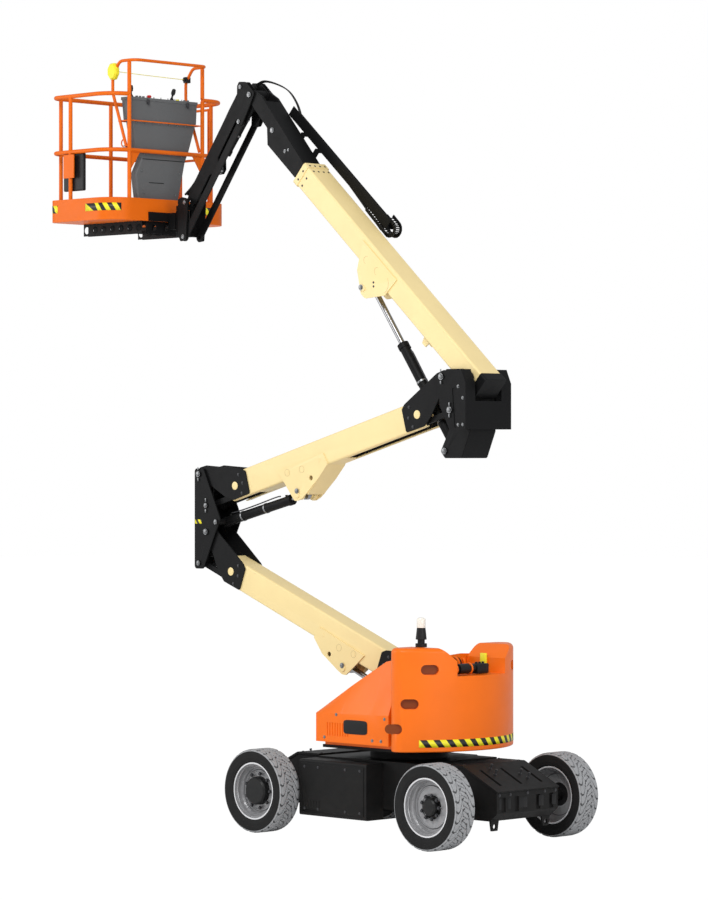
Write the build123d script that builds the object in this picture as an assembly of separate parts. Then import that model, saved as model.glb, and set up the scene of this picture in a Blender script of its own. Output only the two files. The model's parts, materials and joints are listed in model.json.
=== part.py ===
from build123d import *
import math
import os

# Articulating boom lift: wheeled chassis, slewing turntable, folding tower, telescopic boom, jib, platform.
# Millimetres. X runs along the chassis, steered wheels at +X, Y to the left, Z up from the floor.
# Everything is drawn about the slewing axis and moved at the end to the middle of the overall box.

# ---------------------------------------------------------------- driving dimensions
WHEELBASE = 2010.0
OVERALL_WIDTH = 1750.0
TYRE_R = 354.0
TYRE_W = 240.0
RIM_R = 242.0
SHAFT_GAP = 0.06              # radial running clearance at every turning pin
CHASSIS_HALF = 370.0
MID_HALF = 480.0
BOX_HALF = 680.0
DECK_Z = 655.0
KINGPIN_Y = 560.0
KINGPIN_R = 20.0
BEARING_TOP = 740.0
LUG_X = 1250.0                # tie-down lugs under both ends
LUG_Y = 310.0
LUG_Z = 180.0
LUG_R = 20.0
PLATE_Z = 765.0               # top of the turntable's base plate
TAIL_R = 875.0
TAIL_Z = (760.0, 1612.0)
TAIL_FRONT = 392.0
TAIL_POCKETS = ((35, 1435), (46, 1155), (55, 949))      # bearing, height
NOTCH_HALF = 290.0
NOTCH_Z = 1378.0
HOOD_X = (-460.0, 386.0)
HOOD_Y = 650.0
WELL_HALF = 215.0

ARM_W = 200.0
ARM_H = 240.0
ARM_DROP = 215.0              # the tube's middle hangs this far below the line of pins
ARM_WALL = 8.0
PLATE_T = 12.0
PIN_R = 26.0
LOWER_L = 2921.0
LOWER_ANGLE = 21.5
UPPER_L = 3098.0
UPPER_ANGLE = 15.4
BASE_PIN = (350.0, 1440.0)
LOWER_LINK_STEP = (-96.0, -279.0)
UPPER_LINK_STEP = (96.0, -277.0)
MID_RISE = (-96.0, 510.0)
MID_LIFT_STEP = (128.0, 89.0)
LOWER_LIFT_BASE = (350.0, 920.0)
LOWER_EYE = (930.0, -441.0)   # lift pins in each member's own frame: along, over
MID_EYE = (1139.0, -493.0)
SIDE_GAP = 10.0               # between an arm's fittings and the plates outside them
LINK_Y = (ARM_W / 2 - 38, ARM_W / 2 - 18)
MID_Y = ARM_W / 2 + PLATE_T + SIDE_GAP + PLATE_T      # outer face of the mid upright's plates
EAR_Y = (ARM_W / 2 + PLATE_T + 6, ARM_W / 2 + PLATE_T + 31)      # turntable ears at the lower arm

BOOM_STEP = (297.0, -13.0)    # boom pivot from the upper arm's far pin
LIFT_STEP = (38.0, -617.0)
BOOM_ANGLE = 41.7
BOOM_W = 250.0
BOOM_H = 200.0
BOOM_L = 2706.0
BOOM_PLATE = 11.0
TOP_Y = BOOM_W / 2 + BOOM_PLATE + 12 + PLATE_T        # outer face of the top upright's plates
BOOM_EYE = (1437.0, -242.0)
FLY_W = 206.0
FLY_H = 160.0
FLY_TRAVEL = 1200.0
NOSE = (3653.0, 119.0)
JIB_STEP = (-115.0, 76.0)
JIB_LINK_STEP = (-21.0, -305.0)
JIB_L = 1220.0
JIB_ANGLE = -53.4
JIB_EYE = (800.0, -96.0)
JIB_LIFT_STEP = (40.0, -170.0)
JIB_DEPTH = 126.0
JIB_W = 100.0
JIB_TUBE = 84.0

ROTATOR_STEP = -150.0         # rotator axis from the jib's far pin
CAGE_STEP = -280.0            # platform's near side from the jib's far pin
CAGE_D = 870.0
CAGE_HALF = 730.0
FLOOR_T = 30.0
TREAD_T = 3.0
CAGE_DROP = 160.0
RAIL_R = 19.0
HOOP_R = 14.0
TOE_H = 200.0
MID_RAIL = 625.0
TOP_RAIL = 1125.0
HOOP_TOP = 1425.0
HOOP_Y = (-506.0, 380.0)


# ---------------------------------------------------------------- helpers
def block(x, y, z):
    centre = Pos((x[0] + x[1]) / 2, (y[0] + y[1]) / 2, (z[0] + z[1]) / 2)
    return centre * Box(abs(x[1] - x[0]), abs(y[1] - y[0]), abs(z[1] - z[0]))


def slab(outline, y0, y1, radius=0.0, corners=None):
    """Plate drawn in X and Z, y0 to y1 thick; some or all corners rounded."""
    face = Plane.XZ.offset(-y1) * make_face(Polyline(*outline, close=True))
    if radius:
        picked = face.vertices()
        if corners is not None:
            spots = [outline[i] for i in corners]
            picked = [v for v in picked if min(math.hypot(v.X - s[0], v.Z - s[1]) for s in spots) < 1]
        face = fillet(picked, radius)
    return extrude(face, y1 - y0)


def fin(outline, x0, x1):
    """Plate drawn in Y and Z, from x0 to x1."""
    return extrude(Plane.YZ.offset(x0) * make_face(Polyline(*outline, close=True)), x1 - x0)


def rod(x, z, r, y0, y1):
    return Pos(x, (y0 + y1) / 2, z) * Rot(90, 0, 0) * Cylinder(r, abs(y1 - y0))


def post(x, y, r, z0, z1):
    return Pos(x, y, (z0 + z1) / 2) * Cylinder(r, abs(z1 - z0))


def add(*shapes):
    total = shapes[0]
    for s in shapes[1:]:
        total = total + s
    return total


def mirrored(shape):
    return Compound(children=[*shape.solids(), *shape.mirror(Plane.XZ).solids()])


def gather(*shapes):
    return Compound(children=[s for shape in shapes for s in shape.solids()])


def step(point, offset):
    return (point[0] + offset[0], point[1] + offset[1])


def on_member(pin, angle, heading, x, z):
    """Place in the side view of a point drawn along and over a member's own line."""
    a = math.radians(angle)
    run = x * math.cos(a) - z * math.sin(a)
    return (pin[0] + heading * run, pin[1] + x * math.sin(a) + z * math.cos(a))


def place(shape, pin, angle, heading):
    """Set a member drawn along +X from its pin; heading -1 points it to -X."""
    turn = Rot(0, -angle, 0) if heading > 0 else Rot(0, angle, 0) * Rot(0, 0, 180)
    return Pos(pin[0], 0, pin[1]) * turn * shape


def pair(outline, y0, y1, radius=0.0, corners=None):
    """The same plate on both sides."""
    return slab(outline, y0, y1, radius, corners) + slab(outline, -y1, -y0, radius, corners)


def rods(x, z, r, y0, y1):
    return rod(x, z, r, y0, y1) + rod(x, z, r, -y1, -y0)


def box_tube(x, w, h, wall, mid):
    outer = block(x, (-w / 2, w / 2), (mid - h / 2, mid + h / 2))
    outer = fillet(outer.edges().filter_by(Axis.X), min(w, h) * 0.09)
    hole = block((x[0] - 1, x[1] + 1), (-w / 2 + wall, w / 2 - wall),
                 (mid - h / 2 + wall, mid + h / 2 - wall))
    return outer - hole


def heading_angle(p, q):
    return math.degrees(math.atan2(q[1] - p[1], abs(q[0] - p[0])))


# ---------------------------------------------------------------- pins in the side view
LOWER_END = on_member(BASE_PIN, LOWER_ANGLE, -1, LOWER_L, 0)
LOWER_LINK = step(BASE_PIN, LOWER_LINK_STEP)
MID_LINK_LOW = step(LOWER_END, LOWER_LINK_STEP)
UPPER_PIN = step(LOWER_END, MID_RISE)
MID_LINK_HIGH = step(UPPER_PIN, UPPER_LINK_STEP)
MID_LIFT = step(LOWER_END, MID_LIFT_STEP)
TOP_PIN = on_member(UPPER_PIN, UPPER_ANGLE, 1, UPPER_L, 0)
TOP_LINK = step(TOP_PIN, UPPER_LINK_STEP)
BOOM_PIN = step(TOP_PIN, BOOM_STEP)
LIFT_BASE = step(TOP_PIN, LIFT_STEP)
LOWER_LIFT_EYE = on_member(BASE_PIN, LOWER_ANGLE, -1, *LOWER_EYE)
MID_LIFT_EYE = on_member(UPPER_PIN, UPPER_ANGLE, 1, *MID_EYE)
LIFT_EYE = on_member(BOOM_PIN, BOOM_ANGLE, -1, *BOOM_EYE)
NOSE_PIN = on_member(BOOM_PIN, BOOM_ANGLE, -1, *NOSE)
JIB_PIN = step(NOSE_PIN, JIB_STEP)
JIB_LINK = step(JIB_PIN, JIB_LINK_STEP)
JIB_END = on_member(JIB_PIN, JIB_ANGLE, -1, JIB_L, 0)
JIB_LIFT_BASE = step(JIB_PIN, JIB_LIFT_STEP)
JIB_LINK_END = step(JIB_END, JIB_LINK_STEP)
JIB_LIFT_EYE = on_member(JIB_PIN, JIB_ANGLE, -1, *JIB_EYE)
ROTATOR_X = JIB_END[0] + ROTATOR_STEP
CAGE_X = JIB_END[0] + CAGE_STEP
CAGE_Z = JIB_END[1] - CAGE_DROP
MIDDLE_X = (CAGE_X - CAGE_D + WHEELBASE / 2 + TYRE_R) / 2


# ---------------------------------------------------------------- chassis
def chassis_frame():
    profile = [(-1338, 290), (-1338, 455), (-960, 640), (960, 640), (1338, 455), (1338, 290),
               (1260, 225), (-1260, 225)]
    spine = slab(profile, -CHASSIS_HALF, CHASSIS_HALF)
    middle = block((-600, 560), (-MID_HALF, MID_HALF), (255, DECK_Z))
    ring = Pos(0, 0, (DECK_Z + BEARING_TOP - 30) / 2) * Cylinder(330, BEARING_TOP - 30 - DECK_Z)
    slots = [block((s * 1322, s * 1340), (y - 26, y + 26), (300, 420)) for s in (-1, 1) for y in (-290,
            -130, 130, 290)]
    tunnel = block((WHEELBASE / 2 - 225, WHEELBASE / 2 - 125), (-MID_HALF, MID_HALF), (312, 368))
    lugs = []
    for s in (-1, 1):
        x = s * LUG_X
        for y in (-LUG_Y, LUG_Y):
            lug = fin([(y - 50, 232), (y - 34, LUG_Z - 36), (y + 34, LUG_Z - 36), (y + 50, 232)], x - 10,
                      x + 10)
            lugs.append(lug - Pos(x, y, LUG_Z) * Rot(0, 90, 0) * Cylinder(LUG_R, 60))
    return add(add(spine, middle, ring) - add(tunnel, *slots), *lugs)


def side_boxes():
    body = block((-630, 160), (MID_HALF, BOX_HALF), (170, 640))
    body = fillet(body.edges().filter_by(Axis.X).sort_by(Axis.Y)[2:], 18)
    door = block((-600, 130), (BOX_HALF, BOX_HALF + 6), (200, 610))
    louvres = [block((-560 + i * 34, -545 + i * 34), (BOX_HALF + 2, BOX_HALF + 7),
                     (240, 300)) for i in range(6)]
    return mirrored(body + door - add(*louvres))


def end_cover(s):
    plate = slab([(s * 700, 640), (s * 700, 660), (s * 966, 660), (s * 1352, 470), (s * 1338, 455),
                  (s * 960, 640)],
                 -CHASSIS_HALF - 8, CHASSIS_HALF + 8)
    slots = [block((s * 1040, s * 1270), (y - 14, y + 14), (450, 700)) for y in (-250, 0, 250)]
    return plate - add(*slots)


def drive_axle():
    x = -WHEELBASE / 2
    one = rod(x, TYRE_R, 92, CHASSIS_HALF, 560) + rod(x, TYRE_R, 118, 560, 690) + rod(x, TYRE_R, 45, 690,
            812)
    return mirrored(one + block((x - 120, x + 120), (CHASSIS_HALF, CHASSIS_HALF + 30), (250, 460)))


def steer_axle():
    x = WHEELBASE / 2
    beam = block((x - 70, x + 70), (CHASSIS_HALF, KINGPIN_Y - 70), (290, 418))
    lugs = [block((x - 50, x + 50), (KINGPIN_Y - 90, KINGPIN_Y + 38), (z, z + 34)) for z in (250, 424)]
    web = block((x - 50, x + 50), (KINGPIN_Y - 90, KINGPIN_Y - 62), (250, 458))
    return mirrored(add(beam, *lugs, web, post(x, KINGPIN_Y, KINGPIN_R, 240, 468)))


def knuckle(s):
    x = WHEELBASE / 2
    body = block((x - 40, x + 40), (s * (KINGPIN_Y - 38), s * (KINGPIN_Y + 60)), (286, 422))
    hub = rod(x, TYRE_R, 62, s * (KINGPIN_Y + 30), s * 690) + rod(x, TYRE_R, 45, s * 690, s * 812)
    arm = block((x - 190, x - 30), (s * (KINGPIN_Y - 18), s * (KINGPIN_Y + 6)), (292, 322))
    eye = post(x - 175, s * (KINGPIN_Y - 15), 26, 292, 322)
    bore = post(x, s * KINGPIN_Y, KINGPIN_R + SHAFT_GAP, 200, 500)
    return add(body, hub, arm, eye) - bore


def tie_rod():
    x = WHEELBASE / 2 - 175
    reach = KINGPIN_Y - 15
    ends = [post(x, s * reach, 24, 325, 355) for s in (-1, 1)]
    return add(rod(x, 340, 13, -reach, reach), *ends)


# ---------------------------------------------------------------- wheels
def wheel_place(end, side):
    return Pos(end * WHEELBASE / 2, side * OVERALL_WIDTH / 2, TYRE_R) * Rot(90 * side, 0, 0)


def turned(points):
    """Turn a (radius, depth) outline; depth runs in from the wheel's outer face."""
    return revolve(make_face(Polyline(*[(r, 0, d) for r, d in points], close=True)), Axis.Z)


def tyre():
    side = [(RIM_R, 14), (250, 4), (300, 0), (332, 4), (349, 18), (TYRE_R, 42)]
    back = [(r, TYRE_W - d) for r, d in reversed(side)]
    body = turned(side + back)
    sipe = block((TYRE_R - 9, TYRE_R + 5), (-5, 5), (30, TYRE_W / 2 - 12))
    other = block((TYRE_R - 9, TYRE_R + 5), (-5, 5), (TYRE_W / 2 + 12, TYRE_W - 30))
    cuts = []
    for i in range(24):
        cuts.append(Rot(0, 0, i * 15) * sipe)
        cuts.append(Rot(0, 0, i * 15 + 7.5) * other)
    return body - Compound(children=cuts)


def rim(end):
    shell = turned([(RIM_R - 0.3, 18), (RIM_R - 0.3, TYRE_W - 18), (RIM_R - 14, TYRE_W - 18),
                    (RIM_R - 14, 150),
                    (190, 128), (110, 112), (110, 92), (200, 104), (222, 80), (228, 18)])
    cap_r = 118 if end < 0 else 72
    cap = turned([(0, 30 if end < 0 else 48), (cap_r - 14, 30 if end < 0 else 48),
                  (cap_r, 46 if end < 0 else 60),
                  (cap_r, 98), (112, 98), (112, 111), (0, 111)])
    body = shell + cap
    for i in range(9):
        a = math.radians(i * 40)
        r = 96 if end > 0 else 146
        body = body + Pos(r * math.cos(a), r * math.sin(a), 90) * Cylinder(9, 34)
    return body - Pos(0, 0, 111) * Cylinder(45 + SHAFT_GAP, 100)


# ---------------------------------------------------------------- turntable
def turntable_frame():
    ring = Pos(0, 0, (BEARING_TOP - 29.7 + PLATE_Z) / 2) * Cylinder(300, PLATE_Z - BEARING_TOP + 29.7)
    base = block((-470, TAIL_FRONT), (-560, 560), (BEARING_TOP, PLATE_Z)) + \
        block((TAIL_FRONT - 1, 655), (-NOTCH_HALF + 1, NOTCH_HALF - 1), (BEARING_TOP, PLATE_Z))
    ear = [(40, PLATE_Z - 2), (110, 1000), (205, 1120), (225, 1190), (290, 1448), (350, 1484),
           (415, 1452), (520, 1180),
           (640, PLATE_Z - 2)]
    ears = pair(ear, *EAR_Y, 40, [1, 2, 3, 4, 5, 6, 7])
    web = block((500, 520), (-EAR_Y[0] - 1, EAR_Y[0] + 1), (PLATE_Z - 2, 1100))
    foot = pair([(300, PLATE_Z - 2), (318, 940), (350, 962), (382, 940), (400, PLATE_Z - 2)], 40, 60)
    pins = rods(*BASE_PIN, 34, 60, EAR_Y[1] + 10) + rod(*LOWER_LIFT_BASE, PIN_R, -60, 60) + \
        rods(*LOWER_LINK, PIN_R, LINK_Y[0] - 3, EAR_Y[0] + 12)
    across = rods(*BASE_PIN, 56, EAR_Y[1] - 1, WELL_HALF - 1)
    return add(ring, base, ears, web, foot, pins, across)


def counterweight():
    """Round tail with a notch for the folded boom, a well for the tower's foot and three pockets."""
    z0, z1 = TAIL_Z
    body = Pos(0, 0, (z0 + z1) / 2) * Cylinder(TAIL_R, z1 - z0)
    body = body & block((TAIL_FRONT, TAIL_R + 1), (-TAIL_R, TAIL_R), (z0, z1))
    uprights = body.edges().filter_by(Axis.Z).sort_by(Axis.X)[:2]
    body = fillet(uprights, 110)
    body = fillet(body.faces().sort_by(Axis.Z)[-1].edges(), 40)
    body = fillet(body.faces().sort_by(Axis.Z)[0].edges(), 12)
    body = body - block((0, TAIL_R + 1), (-NOTCH_HALF, NOTCH_HALF), (NOTCH_Z, z1 + 1))
    body = body - block((0, 660), (-NOTCH_HALF, NOTCH_HALF), (z0 - 1, NOTCH_Z + 1))
    for s in (-1, 1):
        y = s * NOTCH_HALF
        body = body - fin([(y - s, z1 - 110), (y + s * 130, z1 + 1), (y - s, z1 + 1)], 300, TAIL_R + 1)
        for turn, z in TAIL_POCKETS:
            slot = extrude(SlotOverall(150, 84, rotation=90), 34, both=True)
            body = body - Rot(0, 0, s * turn) * Pos(TAIL_R, 0, z) * Rot(0, 90, 0) * slot
    return body


def hood(s):
    """Hood beside the tower's well; its top bends in and climbs to the tail."""
    def section(x, knee, ridge_y, ridge, inner):
        outline = [(WELL_HALF, 797), (HOOD_Y, 797), (HOOD_Y, knee), (ridge_y, ridge), (WELL_HALF, inner)]
        return Plane.YZ.offset(x) * make_face(Polyline(*outline, close=True))
    shape = loft([section(HOOD_X[0], 1033, 560, 1075, 1085), section(-165, 1040, 520, 1267, 1290)],
                 ruled=True)
    shape = shape + loft([section(-165, 1040, 520, 1267, 1290), section(197, 1045, 480, 1480, 1499)],
                         ruled=True)
    shape = shape + loft([section(197, 1045, 480, 1480, 1499),
                          section(HOOD_X[1], 1050, 470, 1520, 1530)], ruled=True)
    grilles = []
    for i in range(9):
        x = -330 + i * 30
        grilles.append(block((x, x + 13), (HOOD_Y - 6, HOOD_Y + 2), (850, 960)))
    skirt = block((HOOD_X[0] + 14, HOOD_X[1]), (WELL_HALF + 4, 555), (PLATE_Z, 798))
    shape = shape - add(*grilles) + skirt
    return shape if s > 0 else shape.mirror(Plane.XZ)


def beacon():
    x, y = 520, -400
    z = TAIL_Z[1]
    parts = [post(x, y, 48, z, z + 30), post(x, y, 30, z + 30, z + 62),
             Pos(x, y, z + 110) * Cone(46, 36, 96)]
    return add(*parts)


def beacon_lens():
    x, y = 520, -400
    z = TAIL_Z[1] + 158
    return fillet((post(x, y, 36, z, z + 84)).edges().sort_by(Axis.Z)[-1:], 20)


# ---------------------------------------------------------------- tower
def arm_tube(length, eye, split):
    """Box arm with its lift bracket; split leaves the far end's middle open for the boom's cylinder."""
    half = ARM_W / 2
    low = -ARM_DROP - ARM_H / 2
    top = -ARM_DROP + ARM_H / 2
    tube = box_tube((330, length - 330), ARM_W, ARM_H, ARM_WALL, -ARM_DROP)
    tube = tube - block((320, 640), (-60, 60), (low - 5, low + 20))
    if split:
        tube = tube - block((1760, length), (-60, 60), (low - 5, top + 5))
    a, z = eye
    plate = [(a - 190, low + 96), (a - 130, low - 14), (a - 50, z - 40), (a - 5, z - 52), (a + 60, z - 40),
             (a + 280, low - 90), (a + 430, low + 4), (a + 395, low + 110)]
    plates = pair(plate, half, half + PLATE_T, 26, [1, 2, 3, 4, 5, 6])
    close = slab([(a + 110, z - 27), (a + 280, low - 90), (a + 430, low + 4), (a + 416, low + 8),
                  (a + 276, low - 78),
                  (a + 112, z - 15)], -half - 1, half + 1)
    plugs = rods(a - 70, low + 58, 17, half + PLATE_T - 1, half + PLATE_T + 2.5)
    plugs = plugs + rods(a + 330, low + 62, 17, half + PLATE_T - 1, half + PLATE_T + 2.5)
    stubs = rods(a, z, PIN_R, 42, half + PLATE_T + 8)
    bosses = rods(a, z, 44, 58, half + 1)
    spare = rods(a + 200, low - 60, 22, half - 5, half + PLATE_T + 3)
    return add(tube, plates, close, plugs, bosses, stubs) - spare


def arm_fitting(x, s, reach):
    """Black side plates that carry the tube's end up to its pin."""
    mid = -ARM_DROP
    outline = [(x - s * 44, 40), (x + s * 8, 60), (x + s * 90, 56),
               (x + s * (reach - 40), mid + ARM_H / 2 + 4),
               (x + s * reach, mid + ARM_H / 2 - 30), (x + s * reach, mid - ARM_H / 2 + 8), (x + s * 350,
                       mid - ARM_H / 2 + 4),
               (x + s * 250, mid - 60), (x + s * 30, -66), (x - s * 50, -36)]
    return pair(outline, ARM_W / 2, ARM_W / 2 + PLATE_T, 20)


def arm_fittings(length, base_r):
    near = arm_fitting(0, 1, 560) - rod(0, 0, base_r + SHAFT_GAP, -300, 300)
    far = arm_fitting(length, -1, 560) - rod(length, 0, PIN_R + SHAFT_GAP, -300, 300)
    return gather(near, far)


def arm_link(length):
    one = block((0, length), LINK_Y, (-25, 25)) + rod(0, 0, 40, *LINK_Y) + rod(length, 0, 40, *LINK_Y)
    one = one - rod(0, 0, PIN_R + SHAFT_GAP, 0, 300) - rod(length, 0, PIN_R + SHAFT_GAP, 0, 300)
    return mirrored(one)


def mid_upright():
    x, z = LOWER_END
    outline = [(-151, 561), (-40, 561), (178, 118), (-40, -329), (-151, -329)]
    plate = pair([(x + a, z + b) for a, b in outline], MID_Y - PLATE_T, MID_Y, 30)
    spine = block((x - 151, x - 139), (-MID_Y + 1, MID_Y - 1), (z - 300, z + 425))
    pins = [rods(*p, PIN_R, LINK_Y[0] - 3, MID_Y + 8) for p in (MID_LINK_LOW, MID_LINK_HIGH)]
    pins += [rods(*p, PIN_R, 92, MID_Y + 10) for p in (LOWER_END, UPPER_PIN)]
    lift = rod(*MID_LIFT, PIN_R, -MID_Y - 8, MID_Y + 8)
    return add(plate, spine, *pins, lift)


def top_upright():
    x, z = TOP_PIN
    outline = [(-46, 0), (60, 62), (247, 62), (300, -13), (315, -453), (220, -676), (40, -676),
               (-10, -620), (90, -440),
               (-20, -240)]
    plate = pair([(x + a, z + b) for a, b in outline], TOP_Y - PLATE_T, TOP_Y, 24)
    back = [(x + 275, z - 438), (x + 381, z - 438), (x + 381, z - 60), (x + 330, z + 57), (x + 275, z + 57)]
    rear = pair(back, TOP_Y, 279)
    joiner = block((x + 320, x + 381), (-TOP_Y - 1, TOP_Y + 1), (z - 438, z - 205))
    inset = [(120, -96), (236, -96), (252, -425), (150, -425)]
    plate = plate - pair([(x + a, z + b) for a, b in inset], TOP_Y - 4, TOP_Y + 1, 14)
    heel = [(292, -205), (303, -450), (216, -664), (84, -664), (84, -676), (222, -676), (316, -454),
            (304, -205)]
    web = slab([(x + a, z + b) for a, b in heel], -TOP_Y + PLATE_T - 1, TOP_Y - PLATE_T + 1)
    pins = rods(*TOP_PIN, PIN_R, 92, TOP_Y + 8) + rods(*TOP_LINK, PIN_R, LINK_Y[0] - 3, TOP_Y + 8)
    pins = pins + rods(*BOOM_PIN, 40, 92, TOP_Y + 8) + rod(*LIFT_BASE, 30, -TOP_Y - 8, TOP_Y + 8)
    inner = TOP_Y - PLATE_T + 1
    collars = rods(*TOP_PIN, 44, ARM_W / 2 + PLATE_T + 1, inner) + rods(*TOP_LINK, 40, LINK_Y[1] + 2, inner)
    return add(plate, rear, joiner, web, pins, collars)


# ---------------------------------------------------------------- cylinders
def ram_barrel(length, r, pin_r, width):
    """Barrel along +X from its base eye."""
    tube = Pos(length / 2 + r * 0.45, 0, 0) * Rot(0, 90, 0) * Cylinder(r, length - r * 0.9)
    gland = Pos(length - 22, 0, 0) * Rot(0, 90, 0) * Cylinder(r + 6, 44)
    port = Pos(length - 70, 0, r + 4) * Cylinder(11, 18) + Pos(r * 1.5, 0, r + 4) * Cylinder(11, 18)
    eye = rod(0, 0, pin_r + 17, -width / 2, width / 2) + block((0, r), (-width / 2, width / 2),
            (-pin_r - 8, pin_r + 8))
    bore = Pos(length / 2 + 100, 0, 0) * Rot(0, 90, 0) * Cylinder(r * 0.56 + 0.3, length)
    bore = bore & block((r * 1.4, length + 300), (-r, r), (-r, r))
    return add(tube, gland, port, eye) - bore - rod(0, 0, pin_r + SHAFT_GAP, -width, width)


def ram_rod(length, start, r, pin_r, width):
    """Rod drawn back from the eye at the origin of the barrel line plus length."""
    shaft = Pos((start + length) / 2, 0, 0) * Rot(0, 90, 0) * Cylinder(r, length - start)
    eye = rod(length, 0, pin_r + 17, -width / 2, width / 2)
    return shaft + eye


RAMS = (
    # name, base pin, eye pin, heading, barrel length, rod's inner end, radius, radii of the two pins
    ("lower_lift", LOWER_LIFT_BASE, LOWER_LIFT_EYE, -1, 760.0, 352.0, 44.0, PIN_R, PIN_R),
    ("mid_lift", MID_LIFT, MID_LIFT_EYE, 1, 860.0, 300.0, 42.0, PIN_R, PIN_R),
    ("boom_lift", LIFT_BASE, LIFT_EYE, -1, 1103.0, 490.0, 45.0, 30.0, PIN_R),
    ("jib_lift", JIB_LIFT_BASE, JIB_LIFT_EYE, -1, 520.0, 120.0, 26.0, 18.0, 18.0),
)


# ---------------------------------------------------------------- boom
def main_boom():
    tube = box_tube((-130, BOOM_L), BOOM_W, BOOM_H, 8, 0)
    collar = box_tube((BOOM_L - 60, BOOM_L), BOOM_W + 16, BOOM_H + 16, 17, 0)
    a, z = BOOM_EYE
    low = -BOOM_H / 2
    plate = [(a + 275, 60), (a + 160, low - 70), (a - 10, z - 52), (a - 75, z - 50), (a - 235, low - 25),
             (a - 255, 62)]
    plates = pair(plate, BOOM_W / 2, BOOM_W / 2 + BOOM_PLATE, 30, [1, 2, 3, 4])
    stubs = rods(a, z, PIN_R, 42, BOOM_W / 2 + 19) + rods(a, z, 46, 58, BOOM_W / 2 + 1)
    level = pair([(600, low + 1), (620, -195), (670, -195), (700, low + 1)], 30, 44)
    bore = rod(0, 0, 40 + SHAFT_GAP, -300, 300)
    return add(tube, collar, plates, stubs, level) - bore


def boom_end_cap():
    cap = block((-143, -62), (-BOOM_W / 2 - 5, BOOM_W / 2 + 5), (-BOOM_H / 2 - 5, BOOM_H / 2 + 5))
    cap = fillet(cap.edges().filter_by(Axis.X), 20)
    inner = block((-130.3, -50), (-BOOM_W / 2 - 0.3, BOOM_W / 2 + 0.3),
                  (-BOOM_H / 2 - 0.3, BOOM_H / 2 + 0.3))
    return cap - fillet(inner.edges().filter_by(Axis.X), 17)


def fly_boom():
    x0 = 1100
    tube = box_tube((x0, 2900), FLY_W, FLY_H, 8, 0)
    nose = [(2740, FLY_H / 2 - 1), (3528, 192), (3653, 168), (3700, 119), (3640, 66), (3298, 29),
            (3194, -78), (2740, -78)]
    plates = pair(nose, FLY_W / 2 - 25, FLY_W / 2, 14, [1, 2, 3, 4])
    top = slab([(2740, FLY_H / 2 - 8), (3480, 176), (3480, 186), (2740, FLY_H / 2 + 1)], -FLY_W / 2 + 1,
               FLY_W / 2 - 1)
    under = block((2740, 3180), (-FLY_W / 2 + 1, FLY_W / 2 - 1), (-78, -68))
    pin = rods(*NOSE, PIN_R, 60, FLY_W / 2 + 23)
    return add(tube, plates, top, under, pin)


def hose_tray():
    floor = block((1780, 3370), (140, 240), (140, 146))
    sides = block((1780, 3370), (140, 146), (140, 236)) + block((1780, 3370), (234, 240), (140, 190))
    feet = [block((x, x + 60), (FLY_W / 2 + 0.0, 141), (140, 146)) +
            block((x, x + 60), (FLY_W / 2, FLY_W / 2 + 7), (50, 146)) for x in (2820, 3050)]
    return add(floor, sides, *feet)


# ---------------------------------------------------------------- jib
def jib_bracket():
    x, z = JIB_PIN
    nx, nz = NOSE_PIN
    outline = [(nx + 60, nz + 10), (nx + 30, nz - 48), (JIB_LINK[0] + 36, JIB_LINK[1] - 30),
               (JIB_LINK[0] - 30, JIB_LINK[1] - 34),
               (x - 42, z + 10), (x - 20, z + 46), (x + 60, z + 40)]
    plates = pair(outline, 110, 120, 22) + pair(outline, 62, 72, 22)
    tie = rod(nx, nz, 44, -63, 63) + rods(*JIB_LINK, 18, 60, 124) + rods(*JIB_PIN, 20, 38, 124)
    tie = tie + rod(*JIB_LIFT_BASE, 18, -73, 73)
    return add(plates, tie) - rod(nx, nz, PIN_R + SHAFT_GAP, -300, 300)


def jib():
    """Channel open below, so that the jib's cylinder folds up into it."""
    half = JIB_W / 2
    side = JIB_TUBE / 2
    tube = box_tube((70, JIB_L - 60), JIB_TUBE, JIB_W, 5, 0)
    tube = tube - block((60, JIB_L - 130), (-side + 5, side - 5), (-half - 1, -half + 10))
    deep = JIB_DEPTH / 2
    outline = [(-34, 34), (46, deep), (JIB_L - 70, deep), (JIB_L + 32, 34), (JIB_L + 34, -26),
               (JIB_L - 60, -deep),
               (90, -deep), (-36, -26)]
    heads = rods(0, 0, 40, side, 58) + rods(JIB_L, 0, 40, side, 58)
    plates = pair(outline, side, side + 10, 16)
    a, z = JIB_EYE
    lug = pair([(a - 110, -deep + 4), (a - 22, z - 32), (a + 24, z - 30), (a + 80, -deep + 4)], side,
               side + 10, 8, [1, 2])
    lug = lug + rods(a, z, 18, 30, 64)
    bores = rod(0, 0, 20 + SHAFT_GAP, -200, 200) + rod(JIB_L, 0, 20 + SHAFT_GAP, -200, 200)
    return add(tube, heads, plates, lug) - bores


def jib_links():
    length = JIB_L
    one = block((0, length), (82, 96), (-34, 34)) + rod(0, 0, 40, 82, 96) + rod(length, 0, 40, 82, 96)
    one = one - rod(0, 0, 18 + SHAFT_GAP, 0, 200) - rod(length, 0, 18 + SHAFT_GAP, 0, 200)
    return mirrored(one)


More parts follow.
